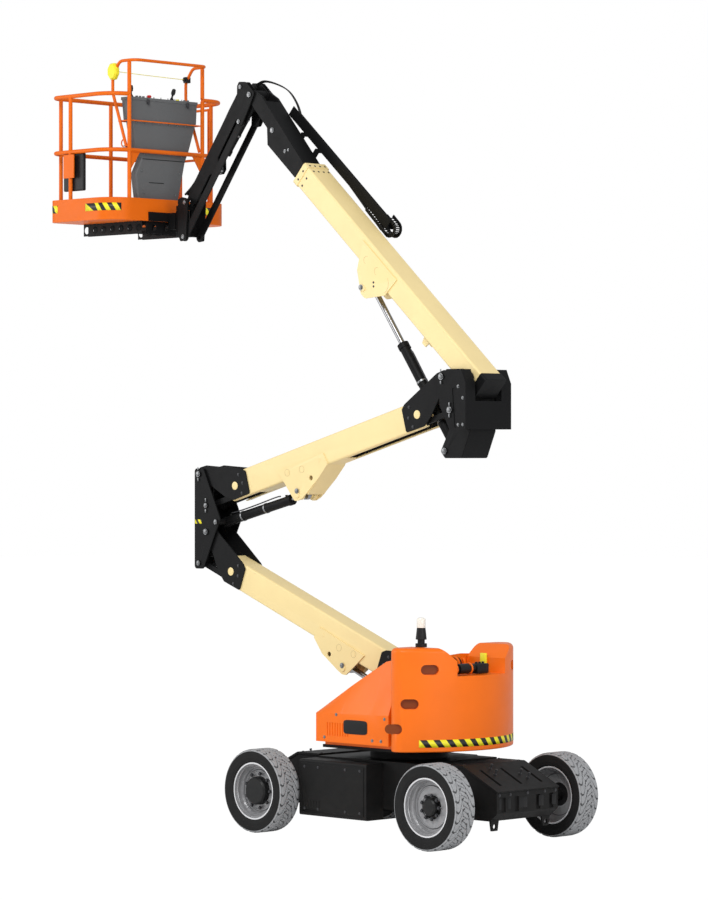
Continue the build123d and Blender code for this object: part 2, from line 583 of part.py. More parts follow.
def platform_support():
    x, z = JIB_END
    outline = [(x + 34, z + 34), (x + 34, z - 10), (x + 12, z - 338), (x - 60, z - 345),
               (x - 92, z - 280), (x - 92, z + 30), (x - 40, z + 50)]
    plates = pair(outline, 104, 114, 14)
    inner = pair([(x - 92, z - 300), (x - 92, z + 20), (x - 69, z + 20), (x - 69, z - 300)], 30, 105)
    pins = rods(x, z, 20, 44, 118) + rods(*JIB_LINK_END, 18, 78, 118)
    arm = block((ROTATOR_X, x - 60), (-60, 60), (z - 300, z - 262)) + block((ROTATOR_X, x - 60),
            (-60, 60), (z - 60, z - 20))
    eyes = post(ROTATOR_X, 0, 60, z - 300, z - 262) + post(ROTATOR_X, 0, 60, z - 60, z - 20)
    core = post(ROTATOR_X, 0, 30, z - 310, z - 10)
    return add(plates, inner, arm, eyes, core)


# ---------------------------------------------------------------- platform
GATE_X = (CAGE_X - 700, CAGE_X - 260)
SIDE_POST = CAGE_X - 590
POST_INSET = 23.0


def tube_run(points, r, bend):
    path = FilletPolyline(*points, radius=bend) if bend else Polyline(*points)
    start = path.location_at(0)
    return sweep(start * Circle(r), path)


def cage_loop(z):
    """Closed horizontal loop round the platform."""
    x0 = CAGE_X - CAGE_D
    shape = Pos((x0 + CAGE_X) / 2, 0, z) * Rectangle(CAGE_D - 2 * POST_INSET, 2 * (CAGE_HALF - POST_INSET))
    wire = fillet(shape.vertices().sort_by(Axis.X)[2:], 230)
    wire = fillet(wire.vertices().sort_by(Axis.X)[:2], 90)
    path = wire.outer_wire() if hasattr(wire, "outer_wire") else wire.wire()
    return sweep(path.location_at(0) * Circle(RAIL_R), path)


def plan(grow):
    x0 = CAGE_X - CAGE_D
    shape = Pos((x0 + CAGE_X) / 2, 0, 0) * Rectangle(CAGE_D + 2 * grow, 2 * (CAGE_HALF + grow))
    shape = fillet(shape.vertices().sort_by(Axis.X)[2:], 230 + grow)
    return fillet(shape.vertices().sort_by(Axis.X)[:2], 90 + grow)


def platform_floor():
    """Deck plate with a raised tread that stops short of the posts."""
    tread = POST_INSET + RAIL_R + 4
    return Pos(0, 0, CAGE_Z) * (extrude(plan(-4.3), FLOOR_T - TREAD_T) + extrude(plan(-tread), FLOOR_T))


def toe_board():
    return Pos(0, 0, CAGE_Z) * extrude(plan(0), TOE_H) - Pos(0, 0, CAGE_Z - 1) * extrude(plan(-4), TOE_H + 2)


def floor_bearers():
    """Perforated channels under the floor, run out to the rotator."""
    z1 = CAGE_Z
    parts = []
    for y in (-330, 330):
        bar = block((CAGE_X - CAGE_D + 60, CAGE_X - 20), (y - 30, y + 30), (z1 - 110, z1))
        bar = bar - block((CAGE_X - CAGE_D + 40, CAGE_X), (y - 24, y + 24), (z1 - 111, z1 - 8))
        for i in range(7):
            bar = bar - rod(CAGE_X - CAGE_D + 101 + i * 118, z1 - 58, 33, y - 60, y + 60)
        parts.append(bar)
    cross = block((CAGE_X - 160, CAGE_X - 20), (-305, 305), (z1 - 110, z1)) - \
        block((CAGE_X - 154, CAGE_X - 26), (-312, 312), (z1 - 111, z1 - 8))
    for i in range(4):
        cross = cross - Pos(CAGE_X - 20, -210 + i * 140, z1 - 58) * Rot(0, 90, 0) * Cylinder(30, 300)
    return add(*parts, cross)


def rotator():
    z = JIB_END[1]
    column = post(ROTATOR_X, 0, 62, z - 258, z - 64) - post(ROTATOR_X, 0, 30 + SHAFT_GAP, z - 400, z + 100)
    plate = block((CAGE_X, ROTATOR_X - 40), (-58, 58), (z - 230, z - 80))
    plate = plate + block((CAGE_X, CAGE_X + 14), (-300, 300), (CAGE_Z, z - 80))
    return column + plate - post(ROTATOR_X, 0, 30 + SHAFT_GAP, z - 400, z + 100)


def top_rail():
    gap = block((CAGE_X - 60, CAGE_X + 5), HOOP_Y, (CAGE_Z + TOP_RAIL - 60, CAGE_Z + TOP_RAIL + 60))
    return cage_loop(CAGE_Z + TOP_RAIL) - gap


def mid_rail():
    gap = block((GATE_X[0] + 2, GATE_X[1] - 12), (CAGE_HALF - 60, CAGE_HALF + 5),
                (CAGE_Z + TOE_H, CAGE_Z + 1000))
    return cage_loop(CAGE_Z + MID_RAIL) - gap


def rail_posts():
    """Posts cut where the rails pass, gussets of the two tall ones, and a bare plate on the near one."""
    x0 = CAGE_X - CAGE_D + POST_INSET
    x1 = CAGE_X - POST_INSET
    y1 = CAGE_HALF - POST_INSET
    spots = [(x0, -600), (x0, 0), (x0, 600), (SIDE_POST, -y1)] + [(x, y1) for x in GATE_X]
    parts = [post(x, y, RAIL_R - 1, CAGE_Z + FLOOR_T - TREAD_T, CAGE_Z + TOP_RAIL) for x, y in spots]
    parts += [post(x1, y, RAIL_R - 1, CAGE_Z + FLOOR_T - TREAD_T,
                   CAGE_Z + HOOP_TOP - HOOP_R - 0.3) for y in HOOP_Y]
    z = CAGE_Z + MID_RAIL - 6
    for y in HOOP_Y:
        s = -1 if y > 0 else 1
        parts.append(fin([(y, z), (y + s * 130, z), (y, z - 190)], x1 - 4, x1 + 4))
    parts.append(block((SIDE_POST - 70, SIDE_POST + 70), (-CAGE_HALF - 2, -CAGE_HALF + 8),
                       (CAGE_Z + 390, CAGE_Z + 600)))
    return add(*parts) - cage_loop(CAGE_Z + TOP_RAIL) - cage_loop(CAGE_Z + MID_RAIL)


def gate():
    """Frame that fills the gap below the top rail and turns about its post."""
    y = CAGE_HALF - POST_INSET
    x0 = GATE_X[0] + 33
    x1 = GATE_X[1] - 32
    low = CAGE_Z + TOE_H + 16
    high = CAGE_Z + TOP_RAIL - RAIL_R - 16
    uprights = [post(x, y, 12, low, high) for x in (x0, x1)]
    bars = [Pos((x0 + x1) / 2, y, z) * Rot(0, 90, 0) * Cylinder(11.5, x1 - x0) for z in (low + 12,
            CAGE_Z + MID_RAIL, high - 12)]
    rings = [post(GATE_X[0], y, 23, z, z + 44) for z in (CAGE_Z + 330, CAGE_Z + 900)]
    return add(*uprights, *bars, *rings) - post(GATE_X[0], y, RAIL_R - 1 + SHAFT_GAP, CAGE_Z, CAGE_Z + 2000)


def console_hoops():
    """One tube: up from the mid rail, back over the console and round in front of it."""
    near, far = HOOP_Y
    side = [(-62, 656), (-245, 1150), (-245, 1300), (-150, HOOP_TOP), (50, HOOP_TOP)]
    pts = [(CAGE_X + a, near, CAGE_Z + b) for a, b in side] + [(CAGE_X + a, far, CAGE_Z + b) for a,
            b in reversed(side)]
    return tube_run(pts, HOOP_R, 80)


# height over the floor, two X limits and two Y limits of the console's pod
POD = (
    (205, -130, -60, -371, 125),
    (420, -135, -54, -400, 170),
    (560, -130, -50, -331, 200),
    (640, -135, -50, -410, 240),
    (905, -150, -50, -445, 330),
)


def console():
    z0 = CAGE_Z

    def level(z, a, b, y0, y1):
        middle = Pos(CAGE_X + (a + b) / 2, (y0 + y1) / 2)
        return Plane.XY.offset(z0 + z) * middle * RectangleRounded(b - a, y1 - y0, 20)

    parts = [loft([level(*POD[i]), level(*POD[i + 1])]) for i in range(len(POD) - 1)]
    parts.append(loft([level(904, -165, -50, -460, 338), level(1095, -175, -46, -470, 345)]))
    rim = extrude(level(1080, -181, -42, -476, 351), 26) - extrude(level(1079, -161, -62, -456, 331), 40)
    floor = extrude(level(1060, -168, -56, -462, 337), 34)
    return add(*parts, floor, rim)


def document_box():
    y = -CAGE_HALF + 2 * RAIL_R + 3
    return fillet(block((CAGE_X - 710, CAGE_X - 435), (y, y + 35), (CAGE_Z + 275, CAGE_Z + 615)).edges(), 12)


# ---------------------------------------------------------------- build
def build():
    nodes = {
        "chassis_frame": chassis_frame(),
        "side_boxes": side_boxes(),
        "front_cover": end_cover(1),
        "rear_cover": end_cover(-1),
        "drive_axle": drive_axle(),
        "steer_axle": steer_axle(),
        "knuckle_right": knuckle(-1),
        "knuckle_left": knuckle(1),
        "tie_rod": tie_rod(),
        "turntable_frame": turntable_frame(),
        "counterweight": counterweight(),
        "hood_left": hood(1),
        "hood_right": hood(-1),
        "beacon": beacon(),
        "beacon_lens": beacon_lens(),
        "lower_arm": place(arm_tube(LOWER_L, LOWER_EYE, False), BASE_PIN, LOWER_ANGLE, -1),
        "lower_arm_fittings": place(arm_fittings(LOWER_L, 34), BASE_PIN, LOWER_ANGLE, -1),
        "lower_links": place(arm_link(LOWER_L), LOWER_LINK, LOWER_ANGLE, -1),
        "mid_upright": mid_upright(),
        "upper_arm": place(arm_tube(UPPER_L, MID_EYE, True), UPPER_PIN, UPPER_ANGLE, 1),
        "upper_arm_fittings": place(arm_fittings(UPPER_L, PIN_R), UPPER_PIN, UPPER_ANGLE, 1),
        "upper_links": place(arm_link(UPPER_L), MID_LINK_HIGH, UPPER_ANGLE, 1),
        "top_upright": top_upright(),
        "main_boom": place(main_boom(), BOOM_PIN, BOOM_ANGLE, -1),
        "boom_end_cap": place(boom_end_cap(), BOOM_PIN, BOOM_ANGLE, -1),
        "fly_boom": place(fly_boom(), BOOM_PIN, BOOM_ANGLE, -1),
        "hose_tray": place(hose_tray().mirror(Plane.XZ), BOOM_PIN, BOOM_ANGLE, -1),
        "jib_bracket": jib_bracket(),
        "jib": place(jib(), JIB_PIN, JIB_ANGLE, -1),
        "jib_links": place(jib_links(), JIB_LINK, JIB_ANGLE, -1),
        "platform_support": platform_support(),
        "rotator": rotator(),
        "platform_floor": platform_floor(),
        "floor_bearers": floor_bearers(),
        "toe_board": toe_board(),
        "top_rail": top_rail(),
        "mid_rail": mid_rail(),
        "rail_posts": rail_posts(),
        "console_hoops": console_hoops(),
        "console": console(),
        "gate": gate(),
        "document_box": document_box(),
    }
    for end, name in ((-1, "drive"), (1, "steer")):
        for side, hand in ((-1, "right"), (1, "left")):
            nodes["tyre_%s_%s" % (name, hand)] = wheel_place(end, side) * tyre()
            nodes["rim_%s_%s" % (name, hand)] = wheel_place(end, side) * rim(end)
    for name, base, eye, heading, barrel, start, r, base_r, eye_r in RAMS:
        length = math.dist(base, eye)
        angle = heading_angle(base, eye)
        nodes[name + "_barrel"] = place(ram_barrel(barrel, r, base_r, 56), base, angle, heading)
        nodes[name + "_rod"] = place(ram_rod(length, start, r * 0.56, eye_r, 40), base, angle, heading)
    return nodes


if __name__ == "__main__":
    os.makedirs("parts", exist_ok=True)
    for node, shape in build().items():
        export_step(Pos(-MIDDLE_X, 0, 0) * shape, "parts/%s.step" % node)
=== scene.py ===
"""Articulating boom lift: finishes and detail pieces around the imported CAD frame."""

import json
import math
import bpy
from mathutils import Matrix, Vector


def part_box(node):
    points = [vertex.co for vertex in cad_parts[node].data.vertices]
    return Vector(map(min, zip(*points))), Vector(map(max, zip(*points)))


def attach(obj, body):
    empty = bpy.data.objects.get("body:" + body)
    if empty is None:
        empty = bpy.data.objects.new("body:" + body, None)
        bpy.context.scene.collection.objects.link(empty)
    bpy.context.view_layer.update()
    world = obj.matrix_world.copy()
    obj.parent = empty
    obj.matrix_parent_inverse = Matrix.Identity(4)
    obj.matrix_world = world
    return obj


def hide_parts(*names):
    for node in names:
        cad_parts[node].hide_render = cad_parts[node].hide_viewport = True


bl_info = {
    "name": "Articulating boom lift",
    "version": (1, 0, 0),
    "blender": (4, 5, 0),
    "location": "View3D > Sidebar > Lift",
    "description": "Builds the finished look of an articulating boom lift around its CAD frame",
    "category": "Object",
}

import bmesh
import bpy
import numpy as np
from bpy.props import FloatProperty, FloatVectorProperty, IntProperty, PointerProperty
from mathutils import Vector

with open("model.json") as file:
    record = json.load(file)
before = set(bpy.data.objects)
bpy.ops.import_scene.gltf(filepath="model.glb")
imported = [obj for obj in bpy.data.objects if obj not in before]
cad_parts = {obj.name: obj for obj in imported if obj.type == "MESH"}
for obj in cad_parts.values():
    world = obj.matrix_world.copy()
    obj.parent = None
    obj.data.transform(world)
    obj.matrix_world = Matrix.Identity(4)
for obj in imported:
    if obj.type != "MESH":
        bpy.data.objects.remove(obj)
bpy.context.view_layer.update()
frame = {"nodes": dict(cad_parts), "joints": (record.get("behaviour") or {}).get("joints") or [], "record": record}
JOINTS = {j["name"]: j for j in frame["joints"]}
# outer side of a tyre from the middle plane, and its width
TYRE_FACE = 0.875
TYRE_WIDTH = 0.240
TYRE_MIDDLE = TYRE_FACE - TYRE_WIDTH / 2
# radii where a tyre's wall turns pale and where its grooves carry painted shade, and half the width that painted
# shade covers
PALE_R = 0.3345
GROOVE_R = 0.3505
GROOVE_HALF = 0.108
# radii of the painted shade ring at the step in a rim's dish and of the painted highlight on its lip
RIM_STEP_R = 0.176
RIM_LIP_R = 0.229
HANDS = (("left", 1), ("right", -1))
MATERIALS = {}
BODY_OF = {n: b for b, ns in frame["record"]["behaviour"]["bodies"].items() for n in ns}


def pin(name):
    """A joint's place at rest."""
    return np.array(JOINTS[name]["pos_m"], float)


def corners(node):
    """Lowest and highest corner of a node's box."""
    lo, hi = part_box(node)
    return np.array(lo), np.array(hi)


# ------------------------------------------------------------ surfaces
def mesh_piece(name, verts, faces, body, paint, angle=35.0, uv=None):
    """Put arrays of points and faces into a mesh, face it outwards, paint it, and set it on its body."""
    mesh = bpy.data.meshes.new(name)
    points = np.asarray(verts, float).reshape(-1, 3).tolist()
    mesh.from_pydata(points, [], [tuple(int(i) for i in f) for f in faces])
    if uv is not None:
        layer = mesh.uv_layers.new(name="UVMap")
        loops = np.zeros(len(mesh.loops), np.int32)
        mesh.loops.foreach_get("vertex_index", loops)
        layer.data.foreach_set("uv", np.asarray(uv, np.float32)[loops].ravel())
    bm = bmesh.new()
    bm.from_mesh(mesh)
    bmesh.ops.remove_doubles(bm, verts=bm.verts, dist=1e-6)
    bmesh.ops.recalc_face_normals(bm, faces=bm.faces)
    bm.to_mesh(mesh)
    bm.free()
    mesh.shade_smooth()
    mesh.set_sharp_from_angle(angle=math.radians(angle))
    piece = bpy.data.objects.new(name, mesh)
    bpy.context.scene.collection.objects.link(piece)
    mesh.materials.append(MATERIALS[paint] if isinstance(paint, str) else paint)
    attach(piece, body)
    return piece


def grid_faces(nu, nv, wrap_u, wrap_v):
    """Quads of a grid of nu by nv points, closed round either way."""
    iu = np.arange(nu if wrap_u else nu - 1)
    iv = np.arange(nv if wrap_v else nv - 1)
    u, v = np.meshgrid(iu, iv, indexing="ij")
    u2, v2 = (u + 1) % nu, (v + 1) % nv
    return np.stack([u * nv + v, u2 * nv + v, u2 * nv + v2, u * nv + v2], -1).reshape(-1, 4)


def smooth_path(points, steps=10):
    """Catmull-Rom curve through the points: on each run a cubic set by its neighbours."""
    p = np.asarray(points, float)
    p = np.vstack([2 * p[0] - p[1], p, 2 * p[-1] - p[-2]])
    t = np.linspace(0, 1, steps, endpoint=False)[:, None, None]
    a, b, c, d = p[:-3][None], p[1:-2][None], p[2:-1][None], p[3:][None]
    q = 0.5 * (2 * b + (c - a) * t + (2 * a - 5 * b + 4 * c - d) * t ** 2 + (3 * b - a - 3 * c + d) * t ** 3)
    return np.vstack([q.transpose(1, 0, 2).reshape(-1, 3), p[-2][None]])


def swept_arrays(path, radius, sides=10):
    """Round section carried along a path, its frame turned as little as possible from point to point."""
    p = np.asarray(path, float)
    tangent = np.gradient(p, axis=0)
    tangent /= np.linalg.norm(tangent, axis=1)[:, None] + 1e-12
    up = np.array([0.0, 0.0, 1.0]) if abs(tangent[0][2]) < 0.9 else np.array([1.0, 0.0, 0.0])
    normals = []
    n = up - tangent[0] * up.dot(tangent[0])
    for t in tangent:
        n = n - t * n.dot(t)
        n = n / (np.linalg.norm(n) + 1e-12)
        normals.append(n)
    n = np.array(normals)[:, None, :]
    b = np.cross(tangent, n[:, 0])[:, None, :]
    a = np.linspace(0, 2 * np.pi, sides, endpoint=False)[None, :, None]
    ring = p[:, None, :] + radius * (np.cos(a) * n + np.sin(a) * b)
    faces = [list(f) for f in grid_faces(len(p), sides, False, True)]
    faces.append(list(range(sides)))
    faces.append(list(range((len(p) - 1) * sides, len(p) * sides)))
    return ring.reshape(-1, 3), faces


def hose(name, points, radius, body, sides=8, steps=6, paint="hose"):
    """Hose or cable: a round section swept along a smooth path."""
    verts, faces = swept_arrays(smooth_path(points, steps), radius, sides)
    return mesh_piece(name, verts, faces, body, paint)


def joined(name, parts, body, paint, angle=35.0):
    """Several (points, faces) lists as one piece."""
    verts, faces, base = [], [], 0
    for v, f in parts:
        v = np.asarray(v, float).reshape(-1, 3)
        verts.append(v)
        faces.extend([[int(i) + base for i in q] for q in f])
        base += len(v)
    return mesh_piece(name, np.vstack(verts), faces, body, paint, angle)


def brick(lo, hi, chamfer=0.002):
    """Box with rounded edges between two corners: a unit cube stretched over them, then bevelled."""
    lo, hi = np.minimum(lo, hi).astype(float), np.maximum(lo, hi).astype(float)
    bm = bmesh.new()
    result = bmesh.ops.create_cube(bm, size=1.0)
    for v in result["verts"]:
        v.co = [(lo[i] + hi[i]) / 2 + v.co[i] * (hi[i] - lo[i]) for i in range(3)]
    c = min(chamfer, float((hi - lo).min()) * 0.4)
    bmesh.ops.bevel(bm, geom=list(bm.edges), offset=c, segments=2, profile=0.5, affect="EDGES")
    verts = [tuple(v.co) for v in bm.verts]
    index = {v: i for i, v in enumerate(bm.verts)}
    faces = [[index[v] for v in f.verts] for f in bm.faces]
    bm.free()
    return verts, faces


def disc_part(centre, axis, profile, sides=24):
    """Turned part about any direction: the profile's (radius, height) go round the axis."""
    axis = np.asarray(axis, float) / np.linalg.norm(axis)
    side = np.cross(axis, [0.3, 0.5, 0.81])
    side /= np.linalg.norm(side)
    other = np.cross(axis, side)
    t = np.linspace(0, 2 * np.pi, sides, endpoint=False)[:, None, None]
    r = np.array([p[0] for p in profile])[None, :, None]
    h = np.array([p[1] for p in profile])[None, :, None]
    points = np.asarray(centre, float) + r * (np.cos(t) * side + np.sin(t) * other) + h * axis
    return points.reshape(-1, 3), grid_faces(sides, len(profile), True, False)


def hex_bolt(centre, axis, r=0.012, h=0.008):
    """Washer and hexagon head standing on a face."""
    washer = disc_part(centre, axis, [(0, 0), (r * 1.55, 0), (r * 1.55, h * 0.25), (r, h * 0.25)], 20)
    hexagon = [(r * 1.15, h * 0.2), (r * 1.15, h * 0.95), (r * 0.95, h * 1.1), (0, h * 1.1)]
    return [washer, disc_part(centre, axis, hexagon, 6)]


def drum(centre, axis, r, h, sides=32, bore=0.0):
    """Plain cylinder, or a ring where it has a bore."""
    profile = [(bore, 0), (r, 0), (r, h), (bore, h)]
    return disc_part(centre, axis, profile + [(bore, 0)] if bore else profile, sides)


def soft_box(power, n=40):
    """Outline of a rounded plate: x = sgn(cos t) |cos t|^power, z = sgn(sin t) |sin t|^power."""
    t = np.linspace(0, 2 * np.pi, n, endpoint=False)
    return [np.sign(f) * np.abs(f) ** power for f in (np.cos(t), np.sin(t))]


def walls(n, last):
    """Quads between rings of n points that follow each other, and a face that closes the last ring."""
    quads = [(k * n + i, k * n + (i + 1) % n, (k + 1) * n + (i + 1) % n, (k + 1) * n + i)
             for i in range(n) for k in range(last)]
    return [tuple(range(last * n, (last + 1) * n))] + quads


# ------------------------------------------------------------ materials
class Wire:
    """A socket whose arithmetic adds Math nodes."""

    def __init__(self, graph, socket):
        self.graph, self.socket = graph, socket

    def _op(self, kind, *others):
        return self.graph.node("ShaderNodeMath", {"operation": kind}, [self, *others])

    def __add__(self, o): return self._op("ADD", o)
    def __radd__(self, o): return self._op("ADD", o)
    def __sub__(self, o): return self._op("SUBTRACT", o)
    def __rsub__(self, o): return self.graph.node("ShaderNodeMath", {"operation": "SUBTRACT"}, [o, self])
    def __mul__(self, o): return self._op("MULTIPLY", o)
    def __truediv__(self, o): return self._op("DIVIDE", o)
    def __pow__(self, o): return self._op("POWER", o)
    def __gt__(self, o): return self._op("GREATER_THAN", o)
    def __lt__(self, o): return self._op("LESS_THAN", o)
    def __abs__(self): return self._op("ABSOLUTE")
    def fract(self): return self._op("FRACT")
    def clamp(self): return self.graph.node("ShaderNodeClamp", {}, [self])


class Graph:
    """A material's node tree; node() takes a type, its settings and its sockets' values or links."""

    def __init__(self, name):
        self.material = bpy.data.materials.new(name)
        self.material.use_nodes = True
        self.tree = self.material.node_tree
        self.shader = self.tree.nodes["Principled BSDF"]

    def node(self, kind, settings=None, inputs=(), out=0):
        made = self.tree.nodes.new(kind)
        for key, value in (settings or {}).items():
            setattr(made, key, value)
        pairs = inputs.items() if isinstance(inputs, dict) else enumerate(inputs)
        for key, value in pairs:
            self.link(value, made.inputs[key])
        return Wire(self, made.outputs[out])

    def link(self, value, socket):
        if isinstance(value, Wire):
            self.tree.links.new(value.socket, socket)
        else:
            socket.default_value = value

    def coords(self, scale=(1, 1, 1)):
        place = self.node("ShaderNodeTexCoord", out="Object")
        return self.node("ShaderNodeMapping", {}, {"Vector": place, "Scale": scale})

    def noise(self, scale, detail=3.0, rough=0.5, stretch=(1, 1, 1)):
        return self.node("ShaderNodeTexNoise", {}, {"Vector": self.coords(stretch), "Scale": scale,
                                                    "Detail": detail, "Roughness": rough}, out="Fac")

    def mix(self, mask, a, b):
        """Colour mix: a where the mask is 0, b where it is 1."""
        made = self.tree.nodes.new("ShaderNodeMix")
        made.data_type = "RGBA"
        self.link(mask, made.inputs["Factor"])
        for value, socket in ((a, made.inputs[6]), (b, made.inputs[7])):
            self.link(value if isinstance(value, Wire) else (*value[:3], 1.0), socket)
        return Wire(self, made.outputs[2])

    def xyz(self):
        place = self.node("ShaderNodeTexCoord", out="Object")
        made = self.tree.nodes.new("ShaderNodeSeparateXYZ")
        self.link(place, made.inputs[0])
        return [Wire(self, made.outputs[i]) for i in range(3)]

    def from_axle(self, cx, cz):
        """Distance from a line along Y: ((x - cx)^2 + (z - cz)^2)^0.5."""
        x, _, z = self.xyz()
        return ((x - cx) ** 2.0 + (z - cz) ** 2.0) ** 0.5

    def uv(self):
        place = self.node("ShaderNodeUVMap", {"uv_map": "UVMap"})
        made = self.tree.nodes.new("ShaderNodeSeparateXYZ")
        self.link(place, made.inputs[0])
        return [Wire(self, made.outputs[i]) for i in range(2)]

    def bump(self, height, strength, distance):
        return self.node("ShaderNodeBump", {}, {"Strength": strength, "Distance": distance, "Height": height})

    def finish(self, colour=None, rough=None, normal=None, metallic=None, coat=None, coat_rough=None,
               gloss=None):
        given = {"Base Color": colour, "Roughness": rough, "Normal": normal, "Metallic": metallic,
                 "Coat Weight": coat, "Coat Roughness": coat_rough, "Specular IOR Level": gloss}
        for key, value in given.items():
            if value is not None:
                if key == "Base Color" and not isinstance(value, Wire):
                    value = (*value[:3], 1.0)
                self.link(value, self.shader.inputs[key])
        return self.material


def srgb(*levels):
    """Linear colour of an 8-bit one: c / 12.92 up to 0.04045, else ((c + 0.055) / 1.055)^2.4."""
    shares = [c / 255 for c in levels]
    return tuple(c / 12.92 if c <= 0.04045 else ((c + 0.055) / 1.055) ** 2.4 for c in shares)


def shade(colour, k):
    """Colour times a share, held at 1 or below where the share brightens it."""
    return tuple(min(1, c * k) for c in colour)


def machine_paint(name, colour, rough=0.38, dust=0.0, peel=0.25, coat=0.1, gloss=0.25):
    """Sprayed enamel: faint cloudiness, dark specks, orange-peel bump and some dust low down."""
    g = Graph(name)
    cloud = g.noise(3.0, 4.0)
    fine = g.noise(60.0, 5.0, 0.6)
    body = g.mix(((cloud - 0.5) * 1.6 + 0.5).clamp(), shade(colour, 0.94), shade(colour, 1.03))
    specks = (fine > 0.735)
    body = g.mix(specks * 0.35, body, shade(colour, 0.55))
    if dust:
        z = g.xyz()[2]
        low = (1.0 - z / 0.9).clamp() * (g.noise(9.0, 5.0, 0.65) * 1.5 - 0.25).clamp()
        body = g.mix(low * dust, body, srgb(150, 142, 130))
    roughness = rough + (g.noise(14.0, 3.0) - 0.5) * 0.16
    bump = g.bump(g.noise(260.0, 2.0) * peel + g.noise(38.0, 2.0) * 0.3, 0.12, 0.0006)
    return g.finish(body, roughness, bump, coat=coat, coat_rough=0.2, gloss=gloss)


def rubber(name, colour, rough=0.75, gloss=0.25):
    """Dull rubber with cloudy patches, darker specks and a fine pebble."""
    g = Graph(name)
    grain = g.noise(420.0, 3.0)
    patch = g.noise(11.0, 4.0, 0.6)
    body = g.mix(patch, shade(colour, 0.82), shade(colour, 1.16))
    body = g.mix((g.noise(90.0, 4.0) > 0.62) * 0.25, body, shade(colour, 0.6))
    return g.finish(body, rough + (patch - 0.5) * 0.2, g.bump(grain, 0.3, 0.0008), gloss=gloss)


def plastic(name, colour, rough=0.5, grain=340.0, gloss=0.25):
    """Moulded plastic with a leather-like grain and faint handling marks."""
    g = Graph(name)
    cloud = g.noise(5.0, 3.0)
    body = g.mix(cloud, shade(colour, 0.9), shade(colour, 1.08))
    marks = g.noise(30.0, 4.0, 0.7, (1, 1, 4))
    body = g.mix((marks > 0.66) * 0.18, body, shade(colour, 1.5))
    return g.finish(body, rough + (cloud - 0.5) * 0.15, g.bump(g.noise(grain, 2.0), 0.25, 0.0006),
                    gloss=gloss)


def metal(name, colour, rough=0.25, metallic=1.0):
    """Bare metal with faint smears and a slightly uneven face."""
    g = Graph(name)
    smear = g.noise(12.0, 4.0, 0.6)
    body = g.mix(smear, shade(colour, 0.85), colour)
    return g.finish(body, rough + (smear - 0.5) * 0.12, g.bump(g.noise(60.0, 2.0), 0.04, 0.0003), metallic)


def hazard(name, pitch=0.11):
    """Slanted black and yellow bands that follow the strip's own length and height."""
    g = Graph(name)
    u, v = g.uv()
    band = ((u + v * 0.75) / pitch).fract() > 0.5
    worn = g.noise(70.0, 5.0, 0.7) > 0.70
    colour = g.mix(band, srgb(238, 226, 30), (0.012, 0.012, 0.012))
    colour = g.mix(worn * 0.15, colour, (0.1, 0.09, 0.05))
    return g.finish(colour, 0.42 + (g.noise(20.0) - 0.5) * 0.1, g.bump(g.noise(200.0), 0.05, 0.0004))


def tyre_rubber(name, cx, cz, tread):
    """Black side wall inside a pale, worn tread whose narrow grooves carry painted shade."""
    g = Graph(name)
    r = g.from_axle(cx, cz)
    across = abs(abs(g.xyz()[1]) - TYRE_MIDDLE)
    grain = g.noise(55.0, 5.0, 0.75)
    worn = g.mix((grain * 2.4 - 0.75).clamp(), shade(tread, 0.72), tread)
    worn = g.mix((g.noise(150.0, 3.0) > 0.64) * 0.35, worn, shade(tread, 0.5))
    # painted shade: the grooves darkened to 0.22 of the tread's colour
    sunk = ((GROOVE_R - r) * 500.0).clamp() * ((GROOVE_HALF - across) * 300.0).clamp()
    worn = g.mix(sunk, worn, shade(tread, 0.22))
    side = g.mix(g.noise(14.0, 4.0), (0.008, 0.008, 0.008), (0.016, 0.016, 0.016))
    outer = ((r - PALE_R) * 500.0).clamp()
    return g.finish(g.mix(outer, side, worn), 0.75 + (grain - 0.5) * 0.2,
                    g.bump(g.noise(420.0, 3.0), 0.3, 0.0008), gloss=0.2)


def wheel_metal(name, cx, cz, black_r):
    """Silver wheel paint with a painted highlight at the lip and a painted shade ring at the dish's step, black
    inside a given radius of the axle, dusty in the dish.
    """
    g = Graph(name)
    r = g.from_axle(cx, cz)
    silver = g.mix(g.noise(25.0, 4.0), srgb(148, 148, 150), srgb(176, 176, 178))
    dirt = (g.noise(8.0, 5.0, 0.7) * 1.8 - 0.6).clamp()
    silver = g.mix(dirt * 0.3, silver, srgb(112, 110, 106))
    # painted shade: a dark ring where the dish steps down
    step = abs(r - RIM_STEP_R) < 0.004
    silver = g.mix(step * 0.8, silver, srgb(92, 92, 94))
    # painted highlight: the lip past RIM_LIP_R turns near white
    silver = g.mix(((r - RIM_LIP_R) * 400.0).clamp(), silver, srgb(232, 232, 234))
    black = g.mix(g.noise(30.0, 4.0), (0.006, 0.006, 0.0065), (0.016, 0.016, 0.016))
    hub = r < black_r
    rough = 0.38 + (g.noise(16.0, 3.0) - 0.5) * 0.2
    metallic = (1.0 - hub) * 0.35
    return g.finish(g.mix(hub, silver, black), rough, g.bump(g.noise(220.0), 0.12, 0.0006), metallic,
                    gloss=0.25)


